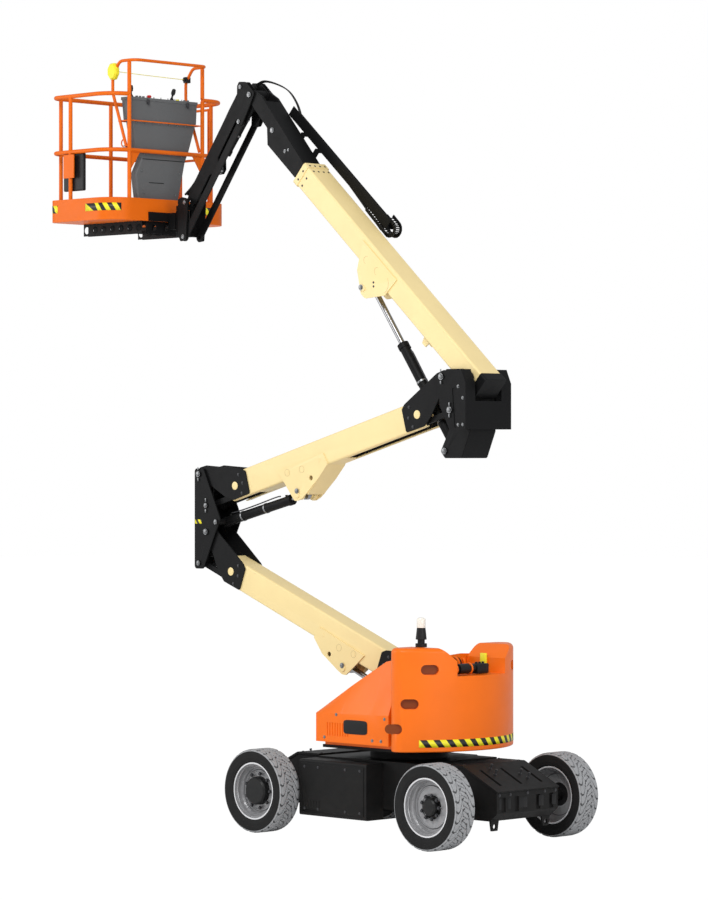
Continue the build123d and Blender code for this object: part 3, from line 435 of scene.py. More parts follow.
def build_materials(wanted):
    """Every finish of the lift, by name."""
    m = MATERIALS
    cream, orange = tuple(wanted.cream), tuple(wanted.orange)
    m["cream"] = machine_paint("cream_enamel", cream, 0.4)
    m["orange"] = machine_paint("orange_enamel", orange, 0.36, coat=0.06, gloss=0.2)
    m["black"] = machine_paint("black_satin", (0.006, 0.006, 0.0063), 0.5, peel=0.6, coat=0.0, gloss=0.13)
    m["chassis"] = machine_paint("chassis_black", (0.007, 0.007, 0.0073), 0.5, dust=0.04, peel=0.8, coat=0.0,
                                 gloss=0.15)
    m["rail"] = machine_paint("rail_orange", shade(orange, 0.86), 0.42, coat=0.0, gloss=0.15)
    # pocket: a dark copy of the orange that paints the shade inside the tail's pockets
    m["pocket"] = machine_paint("pocket_orange", shade(orange, 0.22), 0.5)
    m["seam"] = machine_paint("cream_weld", shade(cream, 0.55), 0.5)
    m["chrome"] = metal("polished_rod", (0.36, 0.36, 0.37), 0.22)
    m["steel"] = metal("zinc_steel", (0.26, 0.265, 0.27), 0.38)
    m["silver"] = metal("rim_silver", (0.42, 0.42, 0.43), 0.32, 0.5)
    m["dark_steel"] = metal("dark_steel", (0.07, 0.07, 0.075), 0.45, 0.7)
    m["hose"] = rubber("black_hose", (0.008, 0.008, 0.008), 0.5)
    m["console"] = plastic("grey_moulding", srgb(96, 97, 98), 0.5)
    m["black_plastic"] = plastic("black_plastic", (0.009, 0.009, 0.0095), 0.45)
    m["red"] = plastic("red_button", (0.55, 0.015, 0.012), 0.3)
    m["yellow"] = plastic("yellow_plastic", srgb(240, 228, 52), 0.4)
    m["hazard"] = hazard("hazard_bands")
    lens = Graph("beacon_lens")
    m["lens"] = lens.finish(lens.mix(lens.noise(40.0), srgb(225, 218, 205), srgb(245, 240, 230)), 0.12)


# ------------------------------------------------------------ settings
class LIFT_PG_settings(bpy.types.PropertyGroup):
    """Sizes and colours of the finished lift"""
    cream: FloatVectorProperty(name="Arm paint", description="Colour of arms and boom", subtype="COLOR",
                               size=3, default=srgb(237, 214, 155))
    orange: FloatVectorProperty(name="Body paint", description="Colour of tail, hoods and rails",
                                subtype="COLOR", size=3, default=srgb(240, 111, 18))
    tyre: FloatVectorProperty(name="Tyre rubber", description="Colour of the worn tread", subtype="COLOR",
                              size=3, default=srgb(166, 167, 169))
    edge: FloatProperty(name="Edge rounding", description="Radius of plate edges", unit="LENGTH",
                        default=0.0025)
    lugs: IntProperty(name="Tread pitches", description="Lugs round each tyre", default=26, min=12, max=60)
    lens_mm: FloatProperty(name="Lens", description="Camera focal length", default=141.8)


def settings():
    return bpy.context.scene.lift_settings


# ------------------------------------------------------------ stage
# light on the machine from all round, and the floor's half width, grey, glow and share of glow
AMBIENT = (0.52, 0.53, 0.54, 1)
FLOOR_REACH = 60
FLOOR_GREY = (0.93, 0.93, 0.93)
FLOOR_GLOW = 1.04
GLOW_SHARE = 0.965
# name, place, target, size and power
LAMPS = (("key", (6.0, -12.0, 13.0), (0, 0, 3), 7.0, 1380.0),
         ("fill", (14.0, -3.0, 5.0), (0, 0, 2.5), 7.0, 460.0),
         ("left", (-9.0, -8.0, 6.0), (0, 0, 3.5), 6.0, 380.0))
# the camera: x from the slewing axis, y, height, and its turn from the Y axis in degrees
EYE = (20.688, -21.531, 3.235)
EYE_TURN = 44.75
VIEW_END = 200


class LIFT_OT_stage(bpy.types.Operator):
    """Pale floor, soft lamps and the camera"""
    bl_idname = "lift.stage"
    bl_label = "Stage"

    def execute(self, context):
        scene = context.scene
        scene.view_settings.view_transform = "Standard"
        self.surroundings(scene)
        self.floor(scene)
        self.lamps(scene)
        self.camera(scene)
        return {"FINISHED"}

    def surroundings(self, scene):
        """White to the camera and soft grey to everything else."""
        world = bpy.data.worlds.new("studio")
        scene.world = world
        world.use_nodes = True
        tree = world.node_tree
        path = tree.nodes.new("ShaderNodeLightPath")
        mix = tree.nodes.new("ShaderNodeMix")
        mix.data_type = "RGBA"
        tree.links.new(path.outputs["Is Camera Ray"], mix.inputs["Factor"])
        mix.inputs[6].default_value = AMBIENT
        mix.inputs[7].default_value = (1, 1, 1, 1)
        tree.links.new(mix.outputs[2], tree.nodes["Background"].inputs["Color"])

    def floor(self, scene):
        """Square floor that glows to the camera and keeps a trace of shadow."""
        e = FLOOR_REACH
        shape = bpy.data.meshes.new("floor")
        shape.from_pydata([(-e, -e, 0), (e, -e, 0), (e, e, 0), (-e, e, 0)], [], [(0, 1, 2, 3)])
        floor = bpy.data.objects.new("floor", shape)
        scene.collection.objects.link(floor)
        g = Graph("pale_floor")
        g.finish(FLOOR_GREY, 0.9)
        path = g.tree.nodes.new("ShaderNodeLightPath")
        glow = g.tree.nodes.new("ShaderNodeEmission")
        mixer = g.tree.nodes.new("ShaderNodeMixShader")
        glow.inputs["Strength"].default_value = FLOOR_GLOW
        g.link(Wire(g, path.outputs["Is Camera Ray"]) * GLOW_SHARE, mixer.inputs[0])
        g.tree.links.new(g.shader.outputs[0], mixer.inputs[1])
        g.tree.links.new(glow.outputs[0], mixer.inputs[2])
        g.tree.links.new(mixer.outputs[0], g.tree.nodes["Material Output"].inputs[0])
        shape.materials.append(g.material)

    def lamps(self, scene):
        for name, place, target, size, power in LAMPS:
            light = bpy.data.lights.new(name, "AREA")
            light.size, light.energy = size, power
            lamp = bpy.data.objects.new(name, light)
            lamp.location = place
            lamp.rotation_euler = (Vector(target) - Vector(place)).to_track_quat("-Z", "Y").to_euler()
            scene.collection.objects.link(lamp)

    def camera(self, scene):
        """Level camera off the machine's near rear corner, set from the slewing axis."""
        view = bpy.data.cameras.new("view")
        view.lens = settings().lens_mm
        view.clip_end = VIEW_END
        camera = bpy.data.objects.new("view", view)
        camera.location = (EYE[0] + pin("slew")[0], EYE[1], EYE[2])
        turn = math.radians(EYE_TURN)
        ahead = Vector((-math.sin(turn), math.cos(turn), 0))
        camera.rotation_euler = ahead.to_track_quat("-Z", "Y").to_euler()
        scene.collection.objects.link(camera)
        scene.camera = camera


# ------------------------------------------------------------ CAD pieces
FINISH = {
    "lower_arm": "cream", "upper_arm": "cream", "main_boom": "cream",
    "counterweight": "orange", "hood_left": "orange", "hood_right": "orange", "platform_floor": "orange",
    "toe_board": "rail", "top_rail": "rail", "mid_rail": "rail", "rail_posts": "rail",
    "console_hoops": "rail", "gate": "rail", "console": "console",
    "document_box": "black_plastic", "beacon": "black_plastic", "beacon_lens": "lens",
    "chassis_frame": "chassis", "side_boxes": "chassis", "front_cover": "chassis", "rear_cover": "chassis",
    "drive_axle": "chassis", "steer_axle": "chassis", "knuckle_left": "chassis", "knuckle_right": "chassis",
    "tie_rod": "dark_steel",
}
# radius inside which a wheel is black
HUB_R = {"drive": 0.122, "steer": 0.098}
# how far in from the tail's farthest point its outer wall is looked for
WALL_BAND = 0.0006
# degrees past which an edge is shaded sharp, and past which it is rounded
SHARP_NODE = 32
SHARP_BEVEL = 40


def round_normals(mesh, axle):
    """Point the corner normals of the tail's outer wall straight away from the slewing axis."""
    place = np.empty(len(mesh.vertices) * 3, np.float32)
    mesh.vertices.foreach_get("co", place)
    away = place.reshape(-1, 3) - np.asarray(axle, np.float32)
    away[:, 2] = 0
    far = np.linalg.norm(away, axis=1)
    away /= far[:, None] + 1e-9
    wall = far > far.max() - WALL_BAND
    normals = np.empty(len(mesh.loops) * 3, np.float32)
    mesh.corner_normals.foreach_get("vector", normals)
    normals = normals.reshape(-1, 3)
    for face in mesh.polygons:
        own = list(face.vertices)
        if wall[own].all() and abs(face.normal[2]) < 0.05:
            normals[face.loop_start:face.loop_start + face.loop_total] = away[own]
    mesh.normals_split_custom_set(normals.tolist())


def rounded_copy(node, material, width):
    """Merged copy of a CAD node with its sharp edges rounded, standing for the node."""
    mesh = frame["nodes"][node].data.copy()
    mesh.name = node + "_finish"
    mesh.materials.clear()
    tail = node == "counterweight"
    bm = bmesh.new()
    bm.from_mesh(mesh)
    bmesh.ops.remove_doubles(bm, verts=bm.verts, dist=2e-5)
    if not tail:
        bmesh.ops.dissolve_limit(bm, angle_limit=math.radians(1.0), verts=bm.verts, edges=bm.edges)
    bm.to_mesh(mesh)
    bm.free()
    mesh.shade_smooth()
    mesh.set_sharp_from_angle(angle=math.radians(SHARP_NODE))
    if tail:
        round_normals(mesh, pin("slew"))
    piece = bpy.data.objects.new(node + "_finish", mesh)
    bpy.context.scene.collection.objects.link(piece)
    mesh.materials.append(material)
    bevel = piece.modifiers.new("edges", "BEVEL")
    bevel.width, bevel.segments, bevel.limit_method = width, 2, "ANGLE"
    bevel.angle_limit, bevel.harden_normals = math.radians(SHARP_BEVEL), True
    bevel.use_clamp_overlap = True
    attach(piece, BODY_OF[node])
    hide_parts(node)


class LIFT_OT_finish_nodes(bpy.types.Operator):
    """Paint and edge rounding of every CAD piece but the tyres"""
    bl_idname = "lift.finish_nodes"
    bl_label = "Finish CAD pieces"

    def execute(self, context):
        build_materials(settings())
        for node in sorted(frame["nodes"]):
            if node.startswith("tyre_"):
                continue
            if node.startswith("rim_"):
                c = pin("wheel_%s_spin" % node[4:])
                material = wheel_metal(node + "_paint", c[0], c[2], HUB_R[node.split("_")[1]])
            elif node.endswith("_rod") and node != "tie_rod":
                material = MATERIALS["chrome"]
            else:
                material = MATERIALS[FINISH.get(node, "black")]
            rounded_copy(node, material, settings().edge)
        return {"FINISHED"}


# ------------------------------------------------------------ tyres
# (radius, place in from the outer side), from the bead round the wall to the middle of the tread
TYRE_SECTION = ((.2405, .030), (.243, .014), (.252, .006), (.275, .0015), (.305, .001), (.330, .002),
                (.3435, .009), (.3510, .018), (.3538, .034), (.354, .075), (.354, .120))
# points over half the section, and round one tread pitch
SECTION_POINTS = 60
LUG_POINTS = 24
# radius where the grooves begin, and their depth
TREAD_START = 0.343
TREAD_DEPTH = 0.0075
# depth, radius and width of the rings sunk in a side wall
SIDE_RINGS = ((0.0015, 0.262, 0.004), (0.0012, 0.296, 0.003))


def past(value, edge, blur):
    """0 below an edge, 1 a blur past it, straight between."""
    return np.clip((value - edge) / blur, 0, 1)


def groove_depth(turn, across, r):
    """Depth of the grooves; turn counts tread pitches and across is the place from the middle plane.

    A groove runs where turn + lean(|across|) passes the middle of its period, the two halves half a period
    apart; a zigzag rib groove runs round each half, and short sipes stand near the centre line."""
    off = np.abs(across)
    lean = np.where(across > 0, 0.0, 0.5) + 11.0 * off - 0.35 * np.sin(off * 60.0)
    groove = past(0.115 - np.abs((turn + lean) % 1.0 - 0.5), 0, 0.03) * past(off, 0.010, 0.003)
    sipe = past(0.13 - np.abs((2 * turn + 14.0 * across) % 1.0 - 0.5), 0, 0.04) * past(0.030 - off, 0, 0.003)
    zigzag = 0.006 * (np.abs(((turn * 2) % 2) - 1) - 0.5)
    rib = past(0.0042 - np.abs(off - 0.034 - zigzag), 0, 0.002)
    cut = np.maximum(np.maximum(groove, rib * 0.8), sipe * 0.8)
    return TREAD_DEPTH * past(r, TREAD_START, 0.004) * cut


class LIFT_OT_tyres(bpy.types.Operator):
    """Four lugged tyres"""
    bl_idname = "lift.tyres"
    bl_label = "Tyres"

    def execute(self, context):
        for end in ("drive", "steer"):
            for hand, side in HANDS:
                self.tyre("tyre_%s_%s" % (end, hand), side)
        return {"FINISHED"}

    def tyre(self, node, side):
        """Section carried round the axle, less the tread's grooves and two rings sunk in the side wall."""
        centre = pin("wheel_%s_spin" % node[5:])
        key = np.array(TYRE_SECTION)
        s = np.linspace(0, len(key) - 1, SECTION_POINTS)
        r, d = (np.interp(s, np.arange(len(key)), key[:, i]) for i in (0, 1))
        r = np.concatenate([r, r[-2::-1]])[None, :]
        d = np.concatenate([d, TYRE_WIDTH - d[-2::-1]])[None, :]
        across = d - TYRE_WIDTH / 2
        lugs = settings().lugs
        steps = LUG_POINTS * lugs
        t = np.linspace(0, 2 * np.pi, steps, endpoint=False)[:, None]
        rr = r - groove_depth(t / (2 * np.pi) * lugs, across, r)
        rings = sum(deep * np.exp(-((r - at) / wide) ** 2) for deep, at, wide in SIDE_RINGS)
        y = side * (TYRE_FACE - d - np.where(across > 0, -1.0, 1.0) * rings + 0 * t)
        points = np.stack([centre[0] + rr * np.cos(t), y, centre[2] + rr * np.sin(t)], -1)
        rubber_paint = tyre_rubber(node + "_rubber", centre[0], centre[2], tuple(settings().tyre))
        piece = mesh_piece(node + "_lugged", points, grid_faces(steps, points.shape[1], True, True),
                           BODY_OF[node], rubber_paint, angle=28)
        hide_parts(node)


# ------------------------------------------------------------ places on the linkage
# radius of each cylinder's barrel
CYLINDERS = {"lower_lift": 0.044, "mid_lift": 0.042, "boom_lift": 0.045, "jib_lift": 0.026}
# from the end of a rod's box to the middle of its eye
ROD_EYE_R = 0.043
WELD_R = 0.0012
# sides of the arms' end plates and of the boom's bracket, from the middle plane
FITTING_FACE = 0.1122
BRACKET_FACE = 0.1361


def along(start, end, run, above_line=0.0, y=0.0):
    """Place a run along the line of two pins and above it, at a given y."""
    a, b = start[[0, 2]], end[[0, 2]]
    t = (b - a) / np.linalg.norm(b - a)
    n = np.array([-t[1], t[0]]) * (1 if t[0] > 0 else -1)
    q = a + t * run + n * above_line
    return np.array([q[0], y, q[1]])


def on_boom(run, above_line, y):
    """Place along the boom's own line from its pivot, above that line, at a given y."""
    axis = np.array(JOINTS["fly_extend"]["axis"], float)
    q = pin("boom_raise") + axis * run + np.array([axis[2], 0, -axis[0]]) * above_line
    return np.array([q[0], y, q[2]])


def arc_line(centre, r, start, stop, y):
    """Thin raised weld line: part of a circle in the side view, between two angles in degrees."""
    t = np.linspace(math.radians(start), math.radians(stop), 20)
    path = np.stack([centre[0] + r * np.cos(t), np.full(20, y), centre[2] + r * np.sin(t)], -1)
    return swept_arrays(path, WELD_R, 6)


def places():
    """Every pin of the linkage at rest, by name; the links' far pins close their parallelograms."""
    p = {"A0": pin("lower_arm_raise"), "A1": pin("mid_upright_level"), "L0": pin("lower_links_turn"),
         "B1": pin("upper_arm_raise"), "M1": pin("upper_links_turn"), "B2": pin("top_upright_level"),
         "G": pin("boom_raise"), "F": pin("jib_bracket_level"), "J1": pin("jib_raise"),
         "K1": pin("jib_links_turn"), "J2": pin("platform_level")}
    p["L1"] = p["A1"] + p["L0"] - p["A0"]
    p["M2"] = p["B2"] + p["M1"] - p["B1"]
    p["K2"] = p["J2"] + p["K1"] - p["J1"]
    for ram in CYLINDERS:
        p[ram] = pin(ram + "_swing")
        lo, hi = corners(ram + "_rod")
        axis = np.array(JOINTS[ram + "_stroke"]["axis"])
        p[ram + "_eye"] = np.where(axis > 0, hi, lo) - axis * ROD_EYE_R
        p[ram + "_eye"][1] = 0
    return p


# ------------------------------------------------------------ pins, plugs and bands
# body, pins, face from the middle plane, bolt radius
PIN_HEADS = (
    ("mid_upright", ("B1", "A1"), 0.144, 0.017), ("mid_upright", ("M1", "L1", "mid_lift"), 0.142, 0.014),
    ("top_upright", ("B2", "M2", "G", "boom_lift"), 0.168, 0.018),
    ("lower_arm", ("lower_lift_eye",), 0.120, 0.015), ("upper_arm", ("mid_lift_eye",), 0.120, 0.015),
    ("main_boom", ("boom_lift_eye",), 0.144, 0.016), ("jib_bracket", ("J1", "K1"), 0.124, 0.012),
    ("fly_boom", ("F",), 0.126, 0.015), ("platform_support", ("J2", "K2"), 0.118, 0.012))
# half width, thickness and half height of a keeper plate, and its place above and below the pin
KEEPER_PLATE = (0.007, 0.004, 0.014)
KEEPER_STEP = 0.048


class LIFT_OT_pin_heads(bpy.types.Operator):
    """Keeper plates and bolts on the ends of the pins"""
    bl_idname = "lift.pin_heads"
    bl_label = "Pin heads"

    def execute(self, context):
        p = places()
        for body, names, y, r in PIN_HEADS:
            parts = []
            for name in names:
                kept = "upright" in body and name in ("B1", "B2", "M1", "M2", "G")
                for s in (-1, 1):
                    parts += self.head(np.array([p[name][0], s * y, p[name][2]]), s, r, kept)
            joined("bolts_" + body + "_" + names[0], parts, body, "steel")
        return {"FINISHED"}

    def head(self, c, s, r, kept):
        """Washer and bolt on a pin's end, with two keeper plates where the pin has them."""
        w, t, h = KEEPER_PLATE
        washer = [(0, -0.001), (r * 1.5, -0.001), (r * 1.5, 0.002), (0, 0.002)]
        parts = [disc_part(c, (0, s, 0), washer, 28)]
        parts += hex_bolt(c + (0, s * 0.0018, 0), (0, s, 0), r, r * 0.5)
        for k in (-KEEPER_STEP, KEEPER_STEP) if kept else ():
            parts.append(brick(c + (-w, min(0, s * t), k - h), c + (w, max(0, s * t), k + h), 0.002))
        return parts


class LIFT_OT_plugs(bpy.types.Operator):
    """Painted plugs and bolts in the arms' black end plates"""
    bl_idname = "lift.plugs"
    bl_label = "Arm plugs"

    def execute(self, context):
        p = places()
        dome = [(0, -0.001), (0.034, -0.001), (0.036, 0.001), (0.034, 0.0025), (0.028, 0.0032), (0, 0.0035)]
        for body, a, b, runs in (("upper_arm", "B1", "B2", (0.400, 2.700)),
                                 ("lower_arm", "A0", "A1", (0.400, 2.520))):
            a, b = p[a], p[b]
            plugs = [disc_part(along(a, b, run, -0.214, s * FITTING_FACE), (0, s, 0), dome, 36)
                     for run in runs for s in (-1, 1)]
            joined("plugs_" + body, plugs, body, "cream")
            bolts = []
            for near, sign in ((0.0, 1), (np.linalg.norm(b - a), -1)):
                for run, drop in ((0.47, -0.13), (0.50, -0.215), (0.47, -0.30)):
                    for s in (-1, 1):
                        spot = along(a, b, near + sign * run, drop, s * FITTING_FACE)
                        bolts += hex_bolt(spot, (0, s, 0), 0.009, 0.006)
            joined("fitting_bolts_" + body, bolts, body, "dark_steel")
        return {"FINISHED"}


BAND_GAP = 0.0009
BAND_WALL = 0.0008
# radius, reach to either side in degrees, foot, top and length
TAIL_BAND = (0.8762, 41, 0.800, 0.862, 1.25)
# the toe board's corner radii at the near side's two ends
TOE_NEAR_R, TOE_END_R = 0.23, 0.09


class LIFT_OT_hazard(bpy.types.Operator):
    """Slanted warning bands on the tail, the toe board and the middle upright"""
    bl_idname = "lift.hazard"
    bl_label = "Hazard bands"

    def band(self, name, path, z0, z1, body="platform", length=None, height=None):
        """A thin strip along plan places between two heights; its UV runs in metres along and up, or over
        the length and height given."""
        path = np.asarray(path, float)
        n = len(path)
        if length is None:
            length = np.linalg.norm(np.diff(path, axis=0), axis=1).sum()
        rows = np.stack([np.column_stack([path, np.full(n, z)]) for z in (z0, z1)], 1)
        u = np.linspace(0, length, n)[:, None] + np.zeros((1, 2))
        v = np.array([[0.0, height or z1 - z0]]) + np.zeros((n, 1))
        piece = mesh_piece(name, rows, grid_faces(n, 2, False, False), body, "hazard",
                           uv=np.stack([u, v], -1).reshape(-1, 2))
        wall = piece.modifiers.new("wall", "SOLIDIFY")
        wall.thickness, wall.offset = BAND_WALL, 0.0

    def execute(self, context):
        x0 = pin("slew")[0]
        r, reach, z0, z1, length = TAIL_BAND
        t = np.radians(np.linspace(-reach, reach, 60))
        self.band("hazard_tail", np.stack([x0 + r * np.cos(t), r * np.sin(t)], -1), z0, z1, "turntable",
                  length)
        self.toe_board(*corners("toe_board"))
        a1 = pin("mid_upright_level")
        for i, s in enumerate((-1, 1)):
            path = [(a1[0] + q, s * 0.1348) for q in np.linspace(-0.146, -0.06, 3)]
            self.band("hazard_upright_%d" % i, path, a1[2] + 0.070, a1[2] + 0.108, "mid_upright", 0.15, 0.065)
        return {"FINISHED"}

    def toe_board(self, lo, hi):
        """Bands that follow the board's straight sides and round corners, a hair off its face."""
        z0, z1, out = lo[2] + 0.082, lo[2] + 0.150, BAND_GAP
        r = TOE_NEAR_R
        near = [(x, lo[1] - out) for x in np.linspace(hi[0] - 0.36, hi[0] - r, 3)]
        near += [(hi[0] - r + (r + out) * math.sin(a), lo[1] + r - (r + out) * math.cos(a))
                 for a in np.linspace(0.1, 1.12, 10)]
        self.band("hazard_toe_near", near, z0, z1)
        r = TOE_END_R
        end = [(lo[0] + r - (r + out) * math.sin(a), lo[1] + r - (r + out) * math.cos(a))
               for a in np.linspace(0.9, 0.0, 8)]
        end += [(x, lo[1] - out) for x in np.linspace(lo[0] + r, lo[0] + 0.13, 3)]
        self.band("hazard_toe_end", end, z0, z1)
        self.band("hazard_toe_boom", [(hi[0] + out, y) for y in np.linspace(0.30, 0.49, 4)], z0, z1)
        far = [(x, hi[1] + out) for x in np.linspace(hi[0] - 0.25, hi[0] - 0.60, 5)]
        self.band("hazard_toe_far", far, z0, z1)


# ------------------------------------------------------------ hoses and chain
# run past the boom's nose pin, height above the boom's line, y
NOSE_ROUTE = ((-.50, .030, .190), (-.40, .085, .190), (-.28, .150, .175), (-.15, .178, .150),
              (-.04, .160, .100), (.05, .115, .040), (.085, .040, .012))
NOSE_STEP = 0.014
# where the tray's hoses begin past the boom's pivot and how far they stop before its nose pin
TRAY_START, TRAY_END = 1.84, 0.45


class LIFT_OT_hoses(bpy.types.Operator):
    """Hydraulic pipes on the cylinders, hose bundles on the boom, jib and tower"""
    bl_idname = "lift.hoses"
    bl_label = "Hoses"

    def execute(self, context):
        p = places()
        for ram, r in CYLINDERS.items():
            self.pipe(ram, p[ram], r)
        for i, y in enumerate((-0.030, -0.010, 0.010, 0.030)):
            pts = [along(p["J1"], p["J2"], q, 0.064 + 0.012 * math.sin(q * 7 + i),
                         y + 0.006 * math.sin(q * 9 + i * 2)) for q in (0.04, 0.12, 0.3, 0.5, 0.7, 0.9, 1.08)]
            pts.append(along(p["J1"], p["J2"], 1.20, 0.10, y * 1.5))
            hose("jib_hose_%d" % i, pts, 0.010, "jib")
        g, f = p["G"], p["F"]
        reach = float(np.linalg.norm((f - g)[[0, 2]]))
        for i in range(3):
            k = i * NOSE_STEP
            pts = [along(g, f, reach + run, up + k * 0.4, y - k) for run, up, y in NOSE_ROUTE]
            hose("nose_hose_%d" % i, pts, 0.0055, "fly_boom", 10, 8)
        for i in range(3):
            pts = [along(g, f, q, 0.045 + 0.02 * math.sin(q * 3 + i), 0.165 + 0.026 * i)
                   for q in np.linspace(TRAY_START, reach - TRAY_END, 8)]
            hose("tray_hose_%d" % i, pts, 0.011, "fly_boom", 8, 5)
        for i in range(4):
            self.tower_hose(i, p["A1"], p["B1"])
        return {"FINISHED"}

    def pipe(self, ram, base, r):
        """Steel pipe along a cylinder's barrel, held by two clips."""
        axis = np.array(JOINTS[ram + "_stroke"]["axis"])
        up = np.array([-axis[2], 0, axis[0]]) * (1 if axis[0] > 0 else -1)
        lo, hi = corners(ram + "_barrel")
        length = float(np.abs((hi - lo) @ np.abs(axis))) * 0.93 - 0.12
        route = ((length - 0.02, 0.016), (length - 0.09, 0.020), (length * 0.5, 0.012), (0.16, 0.012),
                 (0.09, 0.018))
        pts = [base + axis * run + up * (r + off) + (0, -0.012, 0) for run, off in route]
        hose("pipe_" + ram, pts, 0.006, ram + "_barrel", paint="dark_steel")
        clip = [(r + 0.001, 0), (r + 0.004, 0), (r + 0.004, 0.016), (r + 0.001, 0.016)]
        clips = [disc_part(base + axis * (length * k - 0.008), axis, clip, 32) for k in (0.3, 0.7)]
        joined("clips_" + ram, clips, ram + "_barrel", "steel")

    def tower_hose(self, i, a1, b1):
        """One of the hoses that bow out along the middle upright's back."""
        y = -0.045 + i * 0.03
        x = a1[0] - 0.118 + 0.012 * (i % 2)
        pts = [(x + 0.10, y, a1[2] - 0.22), (x + 0.02, y, a1[2] - 0.15), (x, y, a1[2] + 0.02),
               (x, y, a1[2] + 0.25), (x + 0.02, y, a1[2] + 0.42), (x + 0.10, y, b1[2] - 0.02)]
        hose("upright_hose_%d" % i, pts, 0.010, "mid_upright")


# radius of the chain's loop, height of its upper run over the boom's line, pitch, place of the loop
CHAIN_LOOP = 0.062
CHAIN_TOP = 0.17
CHAIN_PITCH = 0.03
CHAIN_TURN = 1.76
# lowest and highest corner of a link's two cheeks and its bar, and their chamfers
CHAIN_LINK = (((-0.018, 0.150, -0.015), (0.018, 0.156, 0.015), 0.002),
              ((-0.018, 0.224, -0.015), (0.018, 0.230, 0.015), 0.002),
              ((-0.006, 0.150, 0.012), (0.006, 0.230, 0.017), 0.001))


class LIFT_OT_chain(bpy.types.Operator):
    """Energy chain that turns back at the tray's rear end"""
    bl_idname = "lift.chain"
    bl_label = "Energy chain"

    def execute(self, context):
        """Links stand at equal angles on a half circle and at equal steps on its two straight tails."""
        r, top = CHAIN_LOOP, CHAIN_TOP
        path = [(CHAIN_TURN + 0.10 - CHAIN_PITCH * i, top) for i in range(4)]
        path += [(CHAIN_TURN - r * math.sin(a), top - r + r * math.cos(a))
                 for a in np.linspace(0.2, math.pi - 0.2, 8)]
        path += [(CHAIN_TURN + CHAIN_PITCH * i, top - 2 * r) for i in range(12)]
        parts = []
        for (x0, z0), (x1, z1) in zip(path[:-1], path[1:]):
            turn = math.atan2(z1 - z0, x1 - x0)
            for lo, hi, chamfer in CHAIN_LINK:
                verts, faces = brick(lo, hi, chamfer)
                parts.append((self.put(verts, (x0 + x1) / 2, (z0 + z1) / 2, turn), faces))
        joined("energy_chain", parts, "fly_boom", "black_plastic")
        return {"FINISHED"}

    def put(self, verts, run, up, turn):
        """Turn a link's points by its own angle, then carry them on to the boom's line."""
        g, f = (pin(name)[[0, 2]] for name in ("boom_raise", "jib_bracket_level"))
        line = math.atan2(f[1] - g[1], f[0] - g[0])
        v = np.asarray(verts, float)
        x = v[:, 0] * math.cos(turn) - v[:, 2] * math.sin(turn) + run
        z = -(v[:, 0] * math.sin(turn) + v[:, 2] * math.cos(turn) + up)
        return np.column_stack([g[0] + x * math.cos(line) - z * math.sin(line), v[:, 1],
                                g[1] + x * math.sin(line) + z * math.cos(line)])


# ------------------------------------------------------------ console
# heights of the console's panel and of the tray's floor over the toe board's foot
PANEL_RISE = 1.094
TRAY_FLOOR = 0.892
# places from the toe board's boom side: (x, y), (y, lean) and (x, y, height over its foot)
STOP_BUTTON = (-0.100, -0.200)
STICKS = ((-0.405, (0.25, -0.25, 1)), (0.085, (0.3, 0.1, 1)))
REEL = (-0.229, -0.512, 1.337)
# how far the line drops on its way to the clamp
LINE_DROP = 0.011


